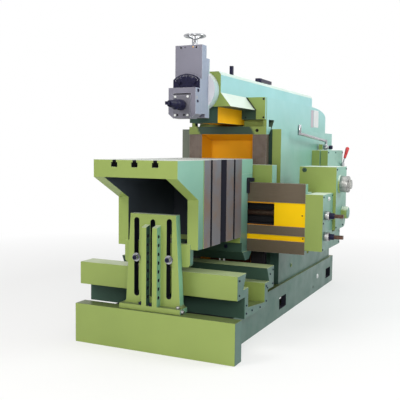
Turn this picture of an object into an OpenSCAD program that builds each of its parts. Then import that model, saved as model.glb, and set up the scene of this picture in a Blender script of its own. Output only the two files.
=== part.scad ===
// Heavy crank shaper: a ram on a column, with a box table on a cross rail in front of it.
// Frame: X to the machine's right, Y to its rear, Z up. The floor is Z = 0, the ram's
// centre plane is X = 0 and the front plane of the cross rail's ways is Y = 0.

/* [Base] */
// Front of the base, measured forward from the way plane
base_front = 837; // [825:1:860]
// Rear of the base, measured back from the way plane
base_rear = 1620; // [1600:5:1800]
// Width of the front beam
base_w = 986; // [960:2:1100]
// Depth of the front beam
beam_d = 90; // [80:1:100]
// Height of the front beam, which carries the table support
beam_h = 223; // [205:1:235]
// Width of the bed behind the beam
bed_w = 758; // [740:2:800]
// Height of the bed under the column
bed_h = 216; // [205:1:222]
// Height of the seat under the chip trough
seat_z = 180; // [170:1:190]
// Wall of the base casting
base_wall = 36; // [28:1:42]
// Width of the foundation flange inside the bed
flange_w = 90; // [80:1:110]
// Radius of a foundation bolt hole
foot_bolt_r = 14; // [10:0.5:18]
// Length of a window in the bed's side
window_l = 142; // [120:1:160]
// Height of a window in the bed's side
window_h = 78; // [60:1:82]

/* [Chip trough] */
// Length of the trough across the machine
trough_l = 1010; // [900:2:1060]
// Middle of the trough, left of the centre plane
trough_shift = 65; // [20:1:80]
// Front of the trough, measured forward from the way plane
trough_front = 680; // [660:1:686]
// Depth of the trough from front to back
trough_d = 588; // [560:1:590]
// Top of its front rail
trough_front_top = 432; // [420:1:440]
// Top of its rear rail
trough_rear_top = 404; // [392:1:408]
// Depth of a rail
trough_rail_d = 126; // [115:1:135]
// Height of a rail's outer face
trough_rail_h = 132; // [120:1:140]
// Undercut of a rail's inner face
trough_undercut = 42; // [30:1:50]
// Height of the undercut face
trough_way_h = 84; // [70:1:95]
// How far a rail stands out over the trough's wall
trough_overhang = 106; // [95:1:112]
// Wall of the trough
trough_wall = 54; // [45:1:60]

/* [Column] */
// Width of the lower column
column_w = 720; // [704:2:740]
// Front of the lower column's cheeks
column_front = 235; // [230:1:250]
// Rear of the lower column
column_rear = 1560; // [1550:2:1600]
// Height of the upper column above the shoulders
upper_h = 205; // [198:1:215]
// Wall of the column casting
column_wall = 30; // [24:1:34]
// Front plane of the column's vertical ways
way_y = 179; // [175:1:185]
// Thickness of the column's front cheeks
cheek_w = 60; // [50:1:70]
// Inner width between the two ways
way_inner_w = 368; // [350:2:380]
// Thickness of a way's flange
way_t = 46; // [40:1:50]
// Depth of the ways' top below the shoulders
way_drop = 35; // [28:1:45]
// Width of the upper column
upper_w = 540; // [520:2:560]
// Front of the upper column
upper_front = 200; // [195:1:210]
// Rear of the upper column
upper_rear = 1680; // [1640:2:1720]
// Top of the upper column
upper_top = 1445; // [1440:1:1450]

/* [Ram] */
// Front face of the ram, measured forward from the way plane
ram_front = 233; // [225:1:245]
// Length of the ram
ram_l = 1978; // [1960:2:2050]
// Rise of the ram above the column's top
ram_rise = 126; // [115:1:140]
// Width of the ram
ram_w = 262; // [250:2:266]
// Width over the dovetail ways
ram_way_w = 394; // [384:2:410]
// Depth of the dovetail's flat way below the column's top
ram_way_drop = 83; // [70:1:90]
// Width of the keel under the ways
keel_w = 190; // [180:2:200]
// Depth of the keel below its flat way
keel_h = 96; // [85:1:98]
// Radius of the ram screw
ram_screw_r = 18; // [14:0.5:20]

/* [Tool head] */
// Height of the head's swivel axis above the column's top
swivel_rise = 11; // [6:1:16]
// Radius of the swivel disc
swivel_r = 122; // [110:1:126]
// Front face of the tool slide, measured forward from the way plane
slide_front = 405; // [402:1:412]
// Width of the tool slide
slide_w = 174; // [168:2:190]
// Thickness of the tool slide
slide_t = 60; // [55:1:64]
// Height of the tool slide's top above the swivel axis
slide_rise = 251; // [246:1:256]
// Length of the tool slide
slide_l = 397; // [387:1:407]
// Width of the clapper box
clapper_w = 174; // [168:2:180]
// Front of the clapper box
clapper_front = 487; // [482:1:494]
// Radius of the handwheel's rim
wheel_r = 60; // [50:1:66]
// Radius of the down-feed screw
feed_screw_r = 12; // [9:0.5:13]
// Radius of the clapper pin
clapper_pin_r = 8; // [6:0.5:9]
// Width of the tool slot in the tool post
tool_slot_w = 26; // [20:1:28]

/* [Cross rail] */
// Half length of the rail
rail_hl = 601; // [590:1:620]
// Bottom of the rail
rail_z0 = 464; // [462:1:468]
// Top of the rail
rail_z1 = 899; // [890:1:905]
// Height of the top way
top_way_h = 119; // [110:1:125]
// Height of the bottom way
bottom_way_h = 79; // [70:1:85]
// Thickness of the ways, which the keeps reach behind
rail_way_t = 50; // [44:1:56]
// Rear of the rail's web
rail_back = 130; // [126:1:140]
// Width of the rail's slide block on the column
block_w = 706; // [660:2:712]
// Top of the rail's slide block
block_top = 1008; // [1000:1:1015]
// Front of the slide block above the rail
block_front = 90; // [86:1:96]
// Length of a cover plate in the rail's recess
cover_l = 201; // [150:1:210]
// Radius of the traverse screw
traverse_r = 18; // [14:0.5:20]
// Radius of the lift screw
lift_r = 22; // [18:0.5:24]

/* [Feed boxes] */
// Length of the feed box past the rail's end
feed_box_l = 109; // [100:1:120]
// Depth of the feed box
feed_box_d = 238; // [220:1:250]
// Height of the feed box
feed_box_h = 345; // [330:1:352]
// Bottom of the feed box
feed_box_z = 492; // [485:1:500]
// Width of the feed gearbox
gearbox_w = 241; // [230:1:250]
// Depth of the feed gearbox
gearbox_d = 277; // [260:1:300]
// Height of the feed gearbox
gearbox_h = 400; // [380:1:410]
// Radius of the feed dial
dial_r = 52; // [44:1:56]

/* [Table] */
// Width of the table
table_w = 500; // [480:2:520]
// Middle of the table, left of the centre plane
table_shift = 24; // [0:1:40]
// Front of the table, measured forward from the way plane
table_front = 971; // [955:1:1000]
// Top of the table
table_top = 1046; // [1040:1:1050]
// Thickness of the table's top plate
plate_t = 92; // [84:1:98]
// Front of the table's lower body
body_front = 726; // [722:1:728]
// Bottom of the table's walls
table_z = 564; // [560:1:572]
// Thickness of a table wall
table_wall = 65; // [58:1:70]
// Spacing of the T-slots
slot_pitch = 122; // [110:1:140]
// Width of a T-slot's neck
neck_w = 22; // [18:1:24]
// Depth of a T-slot's neck
neck_h = 13; // [11:0.5:18]
// Width of a T-slot's wide part
tee_w = 37; // [32:1:42]
// Height of a T-slot's wide part
tee_h = 24; // [18:1:28]
// Thickness of the saddle
saddle_t = 119; // [114:1:124]

/* [Table support] */
// Front of the support plate
support_front = 775; // [770:1:778]
// Half width of the plate at its foot
support_foot_hw = 168; // [160:1:176]
// Half width of the plate at its top
support_top_hw = 141; // [135:1:147]
// Top of the support plate
support_top = 750; // [740:1:760]
// Half spacing of the two long slots
long_slot_x = 101; // [96:1:106]
// Width of a long slot
long_slot_w = 32; // [28:1:36]
// Radius of a clamp bolt
clamp_bolt_r = 9; // [7:0.5:9]

/* [Drive] */
// Height of the bull gear's axis above the middle of the drive's room
gear_lift = 7; // [0:1:14]
// Distance of the bull gear and the rocker behind the way plane
gear_y = 850; // [845:1:855]
// Tooth size (module) of the gears
gear_module = 14; // [13:0.1:14]
// Crank radius
crank_r = 180; // [150:1:185]
// Height of the rocker's pivot above the bed
pivot_rise = 74; // [72:1:80]
// Depth of the link pin below the ram's keel
link_drop = 51; // [44:1:58]
// Radius of the motor
motor_r = 120; // [105:1:130]
// Height of the motor's axis above the bed
motor_rise = 164; // [154:1:169]
// Room between the two pulleys
pulley_room = 101; // [96:1:120]
// Radius of the motor pulley
driver_r = 70; // [60:1:76]

/* [Levers] */
// Width of the lever box
lever_box_w = 122; // [110:1:130]
// Length of the lever box
lever_box_l = 470; // [450:1:490]
// Depth of the lever box's top below the shoulders
lever_drop = 134; // [128:1:140]
// Radius of the clutch lever's rod
lever_r = 10; // [7:0.5:12]

/* [Hidden] */
$fn = 64;
over = 2;
gap = 0.3;
run_gap = 0.05;
green = "#93b35f";
mint = "#86c3a2";
steel = "#8d8780";
metal = "#b9b8c4";
dark = "#2b2b33";
yellow = "#f2bd1d";
chrome = "#d5d8dc";

// Base
beam_back = base_front - beam_d;
bed_hw = bed_w / 2;
trough_y0 = -trough_front;
trough_y1 = trough_y0 + trough_d;
seat_back = trough_y1 - trough_overhang + gap;
flange_t = 34;
web_t = 90;
sill = 21;
window_z = flange_t + sill;
window_ys = [278, 1468];
foot_bolt_x = bed_hw - base_wall - flange_w / 2;
drain_y = 1022;
drain_z = flange_t + sill;
drain_r = 9;

// Chip trough
trough_x0 = -trough_shift - trough_l / 2;
trough_x1 = trough_x0 + trough_l;
floor_front_t = 56;
floor_rear_t = 28;

// Column
column_hw = column_w / 2;
keep_room = 22;
way_ow = column_hw - cheek_w - keep_room;
way_iw = way_inner_w / 2;
shoulder_z = upper_top - upper_h;
way_top = shoulder_z - way_drop;
column_face = 265;
neck_d = column_face - way_y - way_t;
neck_share = 0.55;
way_neck = (way_ow - way_iw) * neck_share;
way_z0 = 300;
bevel = 34;
bevel_h = 40;
strip_h = 50;
strip_top = way_top + strip_h;
cavity_y0 = column_face + column_wall;
cavity_y1 = column_rear - column_wall;
deck_z = shoulder_z - column_wall;
rear_round_l = 424;
rear_round_h = 70;
keel_gap = 1;
channel_gap = 4;
channel_z = upper_top - ram_way_drop - keel_h - channel_gap;
plate_inset = 3;
guide_h = 143;
guide_z0 = upper_top - guide_h;
guide_screw_r = 7;
guide_screw_in = 12;
relief_in = 24;
relief_d = 45;
relief_r = 12;
notch_d = 40;
notch_front = 43;
notch_top_l = 109;
notch_low_l = 55;
strip_hole_r = 11;
strip_hole_in = 64;
strip_hole_x = way_ow - strip_hole_in;
strip_proud = 4;
hatch_hw = 220;
hatch_z0 = 300;
hatch_drop = 210;
hatch_z1 = deck_z - hatch_drop;
hatch_rim = 30;
hatch_t = 12;
louvre_n = 8;
louvre_h = 14;
louvre_w = 260;

// Ram
ram_hw = ram_w / 2;
ram_top = upper_top + ram_rise;
ram_way_z = upper_top - ram_way_drop;
keel_z = ram_way_z - keel_h;
ram_chamfer = 21;
ram_chamfer_in = 14;
ram_whw = ram_way_w / 2;
keel_hw = keel_w / 2;
ram_y0 = -ram_front;
ram_y1 = ram_y0 + ram_l;
keel_setback = 43;
hollow_hw = 58;
roof_t = 91;
hollow_z = ram_top - roof_t;
ram_nose = 133;
ram_tail = 45;
hollow_y0 = ram_y0 + ram_nose;
hollow_y1 = ram_y1 - ram_tail;
screw_drop = 68;
ram_screw_z = hollow_z - screw_drop;
screw_seat = 60;
adjust_y = 243;
adjust_r = 15;
adjust_collar_r = 26;
adjust_collar_h = 20;
adjust_h = 90;
clamp_y = 760;
clamp_r = 14;
clamp_hub_r = 24;
clamp_l = 258;
clamp_w = 40;
clamp_tip_w = 26;
clamp_rise = 35;
clamp_z = ram_top + clamp_rise;
clamp_t = 24;

// Rocker and link
link_throw = 450;
link_rest = 400;
link_y = gear_y + link_rest;
link_r = 20;
link_z = keel_z - link_drop;
pivot_z = bed_h + pivot_rise;
gear_z = (deck_z + bed_h) / 2 + gear_lift;
link_len = link_z - pivot_z;
rocker_rate = atan(link_throw / link_len) / link_throw;
rocker_rest = rocker_rate * link_rest;
tip_room = 33;
rocker_tip = norm([link_len, link_throw]) + tip_room;
rocker_hw = 30;
rocker_boss_r = 60;
rocker_foot_hw = 45;
rocker_top_hw = 68;
fork_room = 16;
fork_depth = 10;
fork_hw = link_r + fork_room;
fork_z = link_len - link_r - fork_depth;
crank_slot_hw = 42;
crank_slot_over = 55;
pivot_r = 30;
pivot_hl = 90;
bracket_in = 34;
bracket_w = 130;
bracket_h = 60;
ear_in = 36;
ear_d = 70;
ear_drop = 30;
block_l = 110;
nut_block_h = 110;
nut_block_z = ram_top - roof_t - nut_block_h;

// Gears and belt drive
bull_n = 46;
pinion_n = 12;
bull_r = gear_module * bull_n / 2;
pinion_r = gear_module * pinion_n / 2;
mesh_gap = 3;
pinion_y = gear_y + bull_r + pinion_r + mesh_gap;
root_share = 1.25;
tip_share = 0.85;
root_w_share = 0.29;
tip_w_share = 0.15;
bull_x0 = -140;
bull_x1 = -80;
bull_hub_r = 90;
bull_hole_r = 62;
bull_hole_at = 200;
bull_hole_n = 6;
gear_shaft_r = 40;
bearing_r = 80;
bearing_l = 80;
crank_pin_r = 25;
crank_block_w = 80;
crank_block_t = 30;
crank_gap = 6;
pinion_shaft_r = 28;
motor_room = 30;
motor_x0 = -column_hw + column_wall + motor_room;
motor_l = 358;
motor_foot_w = 200;
motor_foot_l = 250;
motor_foot_t = 20;
motor_fin_n = 12;
motor_fin_h = 9;
motor_back = 21;
motor_y = cavity_y1 - motor_r - motor_fin_h - motor_back;
motor_z = bed_h + motor_rise;
driven_r = norm([motor_y - pinion_y, gear_z - motor_z]) - driver_r - pulley_room;
motor_fin_t = 5;
motor_shaft_r = 19;
shaft_room = 20;
pulley_w = 78;
pulley_gap = 24;
belt_n = 3;
belt_w = 14;
belt_t = 11;
belt_pitch = 23;
groove_d = 13;
groove_side = 1;
belt_room = 0.5;
guard_room = 26;
guard_t = 4;
guard_w = 140;
arc_steps = 40;

// Head
swivel_z = upper_top + swivel_rise;
slide_top = swivel_z + slide_rise;
head_back = 285;
disc_front = 300;
disc_back = ram_front + gap;
spigot_r = 40;
spigot_l = 50;
base_hw = 80;
base_drop = 166;
base_rise = 182;
base_z0 = swivel_z - base_drop;
base_z1 = swivel_z + base_rise;
slide_back = slide_front - slide_t;
dove_d = 28;
dove_hw = 46;
dove_flare = 14;
groove_hw = 24;
groove_low = 22;
groove_high = 38;
groove_z0 = base_z0 + groove_low;
groove_z1 = base_z1 - groove_high;
screw_y = 325;
feed_nut_hw = 20;
feed_nut_drop = 16;
feed_nut_z = swivel_z - feed_nut_drop;
feed_nut_h = 60;
feed_nut_back = 306;
top_screw_x = 50;
top_screw_drop = 14;
top_screw_r = 6;
clap_drop = 16;
clap_z = swivel_z - clap_drop;
scale_t = 25;
scale_r = 135;
scale_drop = 35;
scale_z = clap_z - scale_drop;
scale_in_r = 16;
clap_boss_r = 14;
box_drop = 160;
box_rise = 15;
box_z0 = clap_z - box_drop;
box_z1 = clap_z + box_rise;
box_back = slide_front + gap + scale_t;
cheek = 31;
box_clip = 26;
pin_drop = 40;
pin_z = clap_z - pin_drop;
pin_in = 18;
pin_y = clapper_front - pin_in;
clap_t = 44;
clap_top = 12;
pocket_top = pin_z + clap_t / 2 + over / 2;
clap_low = 1;
clap_z0 = box_z0 + clap_low;
clap_side = 0.5;
clap_hw = clapper_w / 2 - cheek - clap_side;
clap_front = pin_y + clap_t / 2;
plate_screw_r = 7;
plate_screw_h = 5;
plate_screw_x = 40;
plate_screw_low = 17;
plate_screw_high = 4;
plate_screw_zs = [clap_z0 + plate_screw_low, pin_z + plate_screw_high];
post_drop = 44;
post_z = pin_z - post_drop;
post_r = 30;
post_l = 84;
post_neck_r = 21;
post_tip_r = 15;
post_taper = 14;
post_neck_l = 70;
tool_slot_l = 40;
post_slot_at = 50;
post_screw_r = 9;
post_screw_l = 90;
post_head = 18;
post_head_l = 28;
wheel_rise = 133;
wheel_z = base_z1 + wheel_rise;
wheel_dish = 22;
hub_z = wheel_z - wheel_dish;
rim_r = 7;
hub_r = 17;
spoke_r = 5;
spoke_n = 3;

// Cross rail
recess_z0 = 633;
recess_z1 = rail_z1 - top_way_h;
mid_way_z = 576;
strip_d = 12;
ledge = 12;
recess_d = 80;
recess_end = 26;
lip_groove = 40;
lip_h = 54;
low_lip_h = 51;
keep_side = 2;
keep_leg = keep_room - keep_side;
keep_share = 0.4;
keep_reach = (way_ow - way_iw) * keep_share;
keep_t = 30;
keep_in = 16;
cover_t = 6;
lift_y = 130;
lift_z0 = 160;
lift_z1 = 700;
lift_nut_r = 48;
lift_nut_z = 345;
lift_hole_r = 32;
hand_y = 45;
traverse_z = 709;
lift_shaft_z = 582;
collar_r = 27;
collar_l = 32;
square_w = 22;
square_l = 84;
lift_shaft_r = 16;
lift_shaft_l = 90;
box_ext = 205;
box_ext_h = 98;
gearbox_x0 = 488;
gearbox_z = 600;
gearbox_round = 60;
dial_y = 92;
dial_z = 290;
dial_flange = 10;
dial_l = 50;
dial_knob_r = 30;
dial_knob_l = 16;
dial_shaft_r = 14;
dial_shaft_l = 60;
dial_flute_n = 12;
dial_flute_r = 5;
cap_y = 182;
cap_z = 100;
cap_r = 40;
cap_l = 41;
cap_edge = 6;

// Table
table_x0 = -table_shift - table_w / 2;
table_x1 = table_x0 + table_w;
plate_z = table_top - plate_t;
saddle_back = 76;
side_drop = 121;
rear_wall = 56;
lug_hw = 205;
lug_t = 39;
lug_z0 = 466;
lug_z1 = 592;
lug_r = 22;
pad_t = 4;
pad_y0 = -665;
pad_y1 = -saddle_t;
side_slot_ys = [-567, -235];
side_slot_w = 25;
side_slot_d = 22;
side_tee_w = 42;
side_tee_d = 20;
vee_y = -397;
vee_hw = 41;
saddle_step_y = -88;
saddle_step_z = 525;
upper_lip_z = 855;
low_keep_y = -79;
low_keep_z = 440;
tail_front = 28;
tail_back = 30;
tail_z = 405;
low_lip_z = 500;
lip_back = 76;
nut_hw = 60;
nut_back = 68;
nut_h = 70;
bolt_z = 508;
washer_r = 24;
washer_t = 5;
bolt_head_r = 15;
bolt_head_l = 18;

// Support
support_x = -table_shift;
lug_proud = 3;
support_back = body_front + lug_proud + gap;
foot_z = beam_h + gap;
foot_t = 27;
foot_hw = 190;
foot_front = 815;
rib_in = 18;
rib_t = 30;
rib_top = 692;
rib_slope = 12;
rib_hole_n = 8;
rib_hole_r = 10;
slot_z0 = 291;
slot_z1 = 729;
mid_slot_hw = 15;
mid_slot_z1 = 722;
foot_bolt_left = 64;
foot_bolt_right = 168;
foot_bolt_xs = [-foot_bolt_left, 0, foot_bolt_right];
foot_head_r = 11;
foot_head_h = 14;
foot_bolt_y = 796;

// Levers
lever_box_y = 970;
lever_box_h = 406;
lever_box_top = shoulder_z - lever_drop;
lever_box_z = lever_box_top - lever_box_h;
lever_box_wall = 14;
slit_w = 8;
slit_d = 15;
slit_l = 165;
stand_w = 32;
stand_d = 60;
stand_h = 46;
stand_in = 12;
clutch_y = 1140;
clutch_rise = 22;
clutch_z = lever_box_top + clutch_rise;
clutch_shaft_r = 11;
clutch_over = 50;
clutch_x = column_hw + lever_box_w / 2;
clutch_end = clutch_x + clutch_over;
clutch_hub_r = 18;
clutch_hub_w = 22;
arm_rise = 47;
arm_z = clutch_z + arm_rise;
arm_y = 437;
arm_slope = 40;
arm_tip_z = arm_z + arm_slope;
arm_grip_h = 60;
arm_grip_r = 12;
speed_y = 1400;
speed_drop = 121;
speed_z = lever_box_top - speed_drop;
speed_shaft_r = 10;
speed_hub_r = 22;
speed_hub_w = 22;
speed_rod_r = 6;
speed_lean_x = 12;
speed_lean_y = 16;
speed_lean_z = 59;
speed_tip = [speed_lean_x, speed_lean_y, speed_lean_z];
speed_grip_r = 10;
speed_head_r = 15.5;
speed_grip_l = 92;
speed_grip_round = 8;

module span(x0, x1, y0, y1, z0, z1) {
  translate([x0, y0, z0]) cube([x1 - x0, y1 - y0, z1 - z0]);
}

// Extrude a profile drawn in (Y, Z) along X.
module along_x(x0, x1) {
  translate([x0, 0, 0]) rotate([90, 0, 90]) linear_extrude(x1 - x0) children();
}

// Extrude a profile drawn in (X, Z) along Y.
module along_y(y0, y1) {
  translate([0, y1, 0]) rotate([90, 0, 0]) linear_extrude(y1 - y0) children();
}

// Extrude a profile drawn in (X, Y) along Z.
module along_z(z0, z1) {
  translate([0, 0, z0]) linear_extrude(z1 - z0) children();
}

module rod_x(x0, x1, y, z, r) {
  translate([x0, y, z]) rotate([0, 90, 0]) cylinder(r = r, h = x1 - x0);
}

module rod_y(y0, y1, x, z, r) {
  translate([x, y0, z]) rotate([-90, 0, 0]) cylinder(r = r, h = y1 - y0);
}

module rod_z(z0, z1, x, y, r) {
  translate([x, y, z0]) cylinder(r = r, h = z1 - z0);
}

// A straight rod between two points.
module rod_between(a, b, r) {
  d = b - a;
  run = norm([d[0], d[1]]);
  translate(a) rotate([0, atan2(run, d[2]), atan2(d[1], d[0])]) cylinder(r = r, h = norm(d));
}

module both_sides() {
  children();
  mirror([1, 0, 0]) children();
}

// A vertical slot with round ends, cut along Y.
module slot_cut(x, hw, z0, z1, y0, y1) {
  span(x - hw, x + hw, y0, y1, z0 + hw, z1 - hw);
  rod_y(y0, y1, x, z0 + hw, hw);
  rod_y(y0, y1, x, z1 - hw, hw);
}

// Base casting: the bed with its cross web under the rail
module base() {
  color(green) {
    base_shell();
    span(-bed_hw + over, bed_hw - over, -web_t / 2, web_t / 2, 0, bed_h - over);
  }
}

// Front beam, hollow bed and foundation flange
module base_shell() {
  difference() {
    union() {
      along_x(-bed_hw, bed_hw) polygon([[-beam_back - over, 0], [base_rear, 0], [base_rear, bed_h],
        [seat_back, bed_h], [seat_back, seat_z], [-beam_back - over, seat_z]]);
      span(-base_w / 2, base_w / 2, -base_front, -beam_back, 0, beam_h);
    }
    span(-bed_hw + base_wall, bed_hw - base_wall, -beam_back + base_wall, base_rear - base_wall,
      flange_t, seat_z - base_wall);
    span(-bed_hw + base_wall, bed_hw - base_wall, seat_back + base_wall, base_rear - base_wall,
      flange_t, bed_h - base_wall);
    span(-bed_hw + base_wall + flange_w, bed_hw - base_wall - flange_w, -beam_back + base_wall + flange_w,
      base_rear - base_wall - flange_w, -over, flange_t + over);
    for (y = window_ys) {
      span(-bed_hw - over, bed_hw + over, y - window_l / 2, y + window_l / 2, window_z, window_z + window_h);
      both_sides() rod_z(-over, flange_t + over, foot_bolt_x, y, foot_bolt_r);
    }
    rod_x(bed_hw - base_wall - over, bed_hw + over, drain_y, drain_z, drain_r);
    rod_z(bed_h - base_wall - over, bed_h + over, 0, lift_y, lift_hole_r);
  }
}

// Chip trough with an undercut rail along its front and its rear edge
module chip_trough() {
  wall0 = trough_y0 + trough_overhang;
  wall1 = trough_y1 - trough_overhang;
  color(green) along_x(trough_x0, trough_x1) polygon([
    [trough_y0, trough_front_top - trough_rail_h], [trough_y0, trough_front_top],
    [trough_y0 + trough_rail_d, trough_front_top],
    [trough_y0 + trough_rail_d - trough_undercut, trough_front_top - trough_way_h],
    [wall0 + trough_wall, trough_front_top - trough_way_h],
    [wall0 + trough_wall, seat_z + floor_front_t], [wall1 - trough_wall, seat_z + floor_rear_t],
    [wall1 - trough_wall, trough_rear_top - trough_way_h],
    [trough_y1 - trough_rail_d + trough_undercut, trough_rear_top - trough_way_h],
    [trough_y1 - trough_rail_d, trough_rear_top], [trough_y1, trough_rear_top],
    [trough_y1, trough_rear_top - trough_rail_h], [wall1, trough_rear_top - trough_rail_h],
    [wall1, seat_z], [wall0, seat_z], [wall0, trough_front_top - trough_rail_h]]);
}

// Half outline of the ram above its keel, from the middle of its top
function ram_half(s, c) = [[s * (ram_hw - ram_chamfer_in + c), ram_top + c],
  [s * (ram_hw + c), ram_top - ram_chamfer], [s * (ram_hw + c), upper_top],
  [s * (ram_whw + c), ram_way_z], [s * (ram_whw + c), ram_way_z - c]];

function backwards(list) = [for (i = [len(list) - 1 : -1 : 0]) list[i]];

// Section of the ram's seat, or of the ram itself where the clearance is zero
module ram_section(c) {
  polygon(concat(ram_half(1, c), backwards(ram_half(-1, c))));
}

// Column casting: hollow body, vertical ways, bevelled pocket and ram seat
module column() {
  color(mint) difference() {
    union() {
      span(-column_hw, column_hw, column_face, column_rear, bed_h, shoulder_z);
      both_sides() span(column_hw - cheek_w, column_hw, column_front, column_face + over, bed_h, shoulder_z);
      along_x(-upper_w / 2, upper_w / 2) polygon(concat(
        [[upper_front, shoulder_z - over], [upper_front, upper_top]],
        [for (i = [0 : 9]) rear_curve(i * 10)], [[upper_rear, shoulder_z - over]]));
      both_sides() column_way();
      span(-way_ow, way_ow, way_y - strip_proud, column_face + over, way_top, strip_top);
      along_x(-way_iw - over, way_iw + over) polygon([[way_y, way_top], [column_face + over, way_top],
        [column_face + over, way_top - bevel_h], [column_face, way_top - bevel_h]]);
    }
    span(-column_hw + column_wall, column_hw - column_wall, cavity_y0, cavity_y1, bed_h - over, deck_z);
    span(-hollow_hw, hollow_hw, cavity_y0, link_y + link_throw - link_rest + rocker_top_hw + ear_d / 2,
      deck_z - over, channel_z + over);
    span(-keel_hw - keel_gap, keel_hw + keel_gap, way_y - over, upper_rear + over, channel_z, ram_way_z);
    along_y(way_y - over, upper_rear + over) ram_section(gap);
    span(-hatch_hw, hatch_hw, cavity_y1 - over, column_rear + over, hatch_z0, hatch_z1);
    rod_x(-column_hw - over, -column_hw + column_wall + over, pinion_y, gear_z, pinion_shaft_r + run_gap);
    rod_x(-column_hw - over, -column_hw + column_wall + over, motor_y, motor_z, motor_shaft_r + shaft_room);
    along_y(upper_front - over, upper_front + relief_d) relief_outline();
    both_sides() keep_notch();
    rod_y(way_y - strip_proud - over, way_y + strip_hole_r, strip_hole_x, (way_top + strip_top) / 2,
      strip_hole_r);
  }
}

// Outline of the relief under the guide plates, with round lower corners
module relief_outline() {
  hw = upper_w / 2 - relief_in;
  polygon(concat([[hw, guide_z0], [-hw, guide_z0]],
    [for (i = [0 : 6]) [-hw, strip_top] + relief_r * [1 - cos(i * 15), 1 - sin(i * 15)]],
    [for (i = [0 : 6]) [hw, strip_top] + relief_r * [sin(i * 15) - 1, 1 - cos(i * 15)]]));
}

// Notch in the upper column's side that clears the rail's keep, open at the shoulder
module keep_notch() {
  y0 = upper_front + notch_front;
  along_x(upper_w / 2 - notch_d, upper_w / 2 + over) polygon([[y0, shoulder_z], [y0, guide_z0],
    [y0 + notch_top_l, guide_z0], [y0 + notch_low_l, shoulder_z]]);
}

// Point on the rounded rear end of the upper column, at an angle from its top
function rear_curve(a) = [upper_rear - rear_round_l + rear_round_l * sin(a),
  upper_top - rear_round_h + rear_round_h * cos(a)];

// One vertical way: its flange, the neck behind it and the bevel of the pocket
module column_way() {
  span(way_iw, way_ow, way_y, way_y + way_t, way_z0, way_top);
  span(way_iw, way_iw + way_neck, way_y + way_t - over, column_face + over, way_z0, way_top);
  along_z(way_z0, way_top) polygon([[way_iw + over, way_y], [way_iw, way_y], [way_iw - bevel, column_face],
    [way_iw - bevel, column_face + over], [way_iw + over, column_face + over]]);
}

// Front guide plates on each side of the ram's dovetail
module guide_plates() {
  outer = upper_w / 2 - plate_inset;
  inner = ram_whw + 2 * plate_inset;
  color(green) both_sides() difference() {
    along_y(way_y, upper_front) polygon([[ram_hw + 2 * plate_inset, upper_top], [outer, upper_top],
      [outer, guide_z0], [inner, guide_z0], [inner, ram_way_z - plate_inset]]);
    for (z = [guide_z0 + guide_screw_in, upper_top - guide_screw_in])
      rod_y(way_y - over, way_y + guide_screw_r, outer - guide_screw_in, z, guide_screw_r);
  }
}

// Louvred cover on the column's rear hatch
module rear_cover() {
  louvre_step = (hatch_z1 - hatch_z0) / (louvre_n + 1);
  color(mint) difference() {
    span(-hatch_hw - hatch_rim, hatch_hw + hatch_rim, column_rear, column_rear + hatch_t,
      hatch_z0 - hatch_rim, hatch_z1 + hatch_rim);
    for (i = [1 : louvre_n])
      span(-louvre_w / 2, louvre_w / 2, column_rear - over, column_rear + hatch_t + over,
        hatch_z0 + i * louvre_step, hatch_z0 + i * louvre_step + louvre_h);
  }
}

// Speed-change box on the column's right side, with the stand of the clutch shaft
module lever_box() {
  x0 = column_hw;
  x1 = x0 + lever_box_w;
  y1 = lever_box_y + lever_box_l;
  color(green) difference() {
    union() {
      span(x0, x1, lever_box_y, y1, lever_box_z, lever_box_top);
      span(x0 + stand_in, x0 + stand_in + stand_w, clutch_y - stand_d / 2, clutch_y + stand_d / 2,
        lever_box_top - over, lever_box_top + stand_h);
    }
    span(x0 - over, x1 - lever_box_wall, lever_box_y + lever_box_wall + slit_d, y1 - lever_box_wall,
      lever_box_z + lever_box_wall, lever_box_top - lever_box_wall);
    span(x0 + lever_box_w / 2, x0 + lever_box_w / 2 + slit_w, lever_box_y - over, lever_box_y + slit_d,
      lever_box_top - slit_l, lever_box_top + over);
    rod_x(x0 - over, x0 + stand_in + stand_w + over, clutch_y, clutch_z, clutch_shaft_r + run_gap);
    rod_x(x1 - lever_box_wall - over, x1 + over, speed_y, speed_z, speed_shaft_r + run_gap);
  }
}

// Outline of an open belt around two round centres, filled in
module belt_outline(ra, rb) {
  d = norm([motor_y - pinion_y, motor_z - gear_z]);
  to = atan2(motor_z - gear_z, motor_y - pinion_y);
  lean = acos((ra - rb) / d);
  far = 360 - 2 * lean;
  near = 2 * lean;
  polygon(concat(
    [for (i = [0 : arc_steps]) [pinion_y, gear_z] + ra * heading(to + lean + i * far / arc_steps)],
    [for (i = [0 : arc_steps]) [motor_y, motor_z] + rb * heading(to - lean + i * near / arc_steps)]));
}

function heading(a) = [cos(a), sin(a)];

// Guard over the belts on the column's left side
module belt_guard() {
  ra = driven_r + guard_room;
  rb = driver_r + guard_room;
  color(mint) difference() {
    along_x(-column_hw - guard_w, -column_hw) belt_outline(ra, rb);
    along_x(-column_hw - guard_w + guard_t, -column_hw + over) belt_outline(ra - guard_t, rb - guard_t);
  }
}

pulley_x0 = -column_hw - pulley_gap - pulley_w;
function belt_x(i) = pulley_x0 + pulley_w / 2 + (i - (belt_n - 1) / 2) * belt_pitch;

// V-belts between the motor and the pinion shaft
module belts() {
  ra = driven_r - groove_d + belt_room;
  rb = driver_r - groove_d + belt_room;
  color(dark) for (i = [0 : belt_n - 1])
    along_x(belt_x(i) - belt_w / 2, belt_x(i) + belt_w / 2) difference() {
      belt_outline(ra + belt_t, rb + belt_t);
      belt_outline(ra, rb);
    }
}

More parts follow.
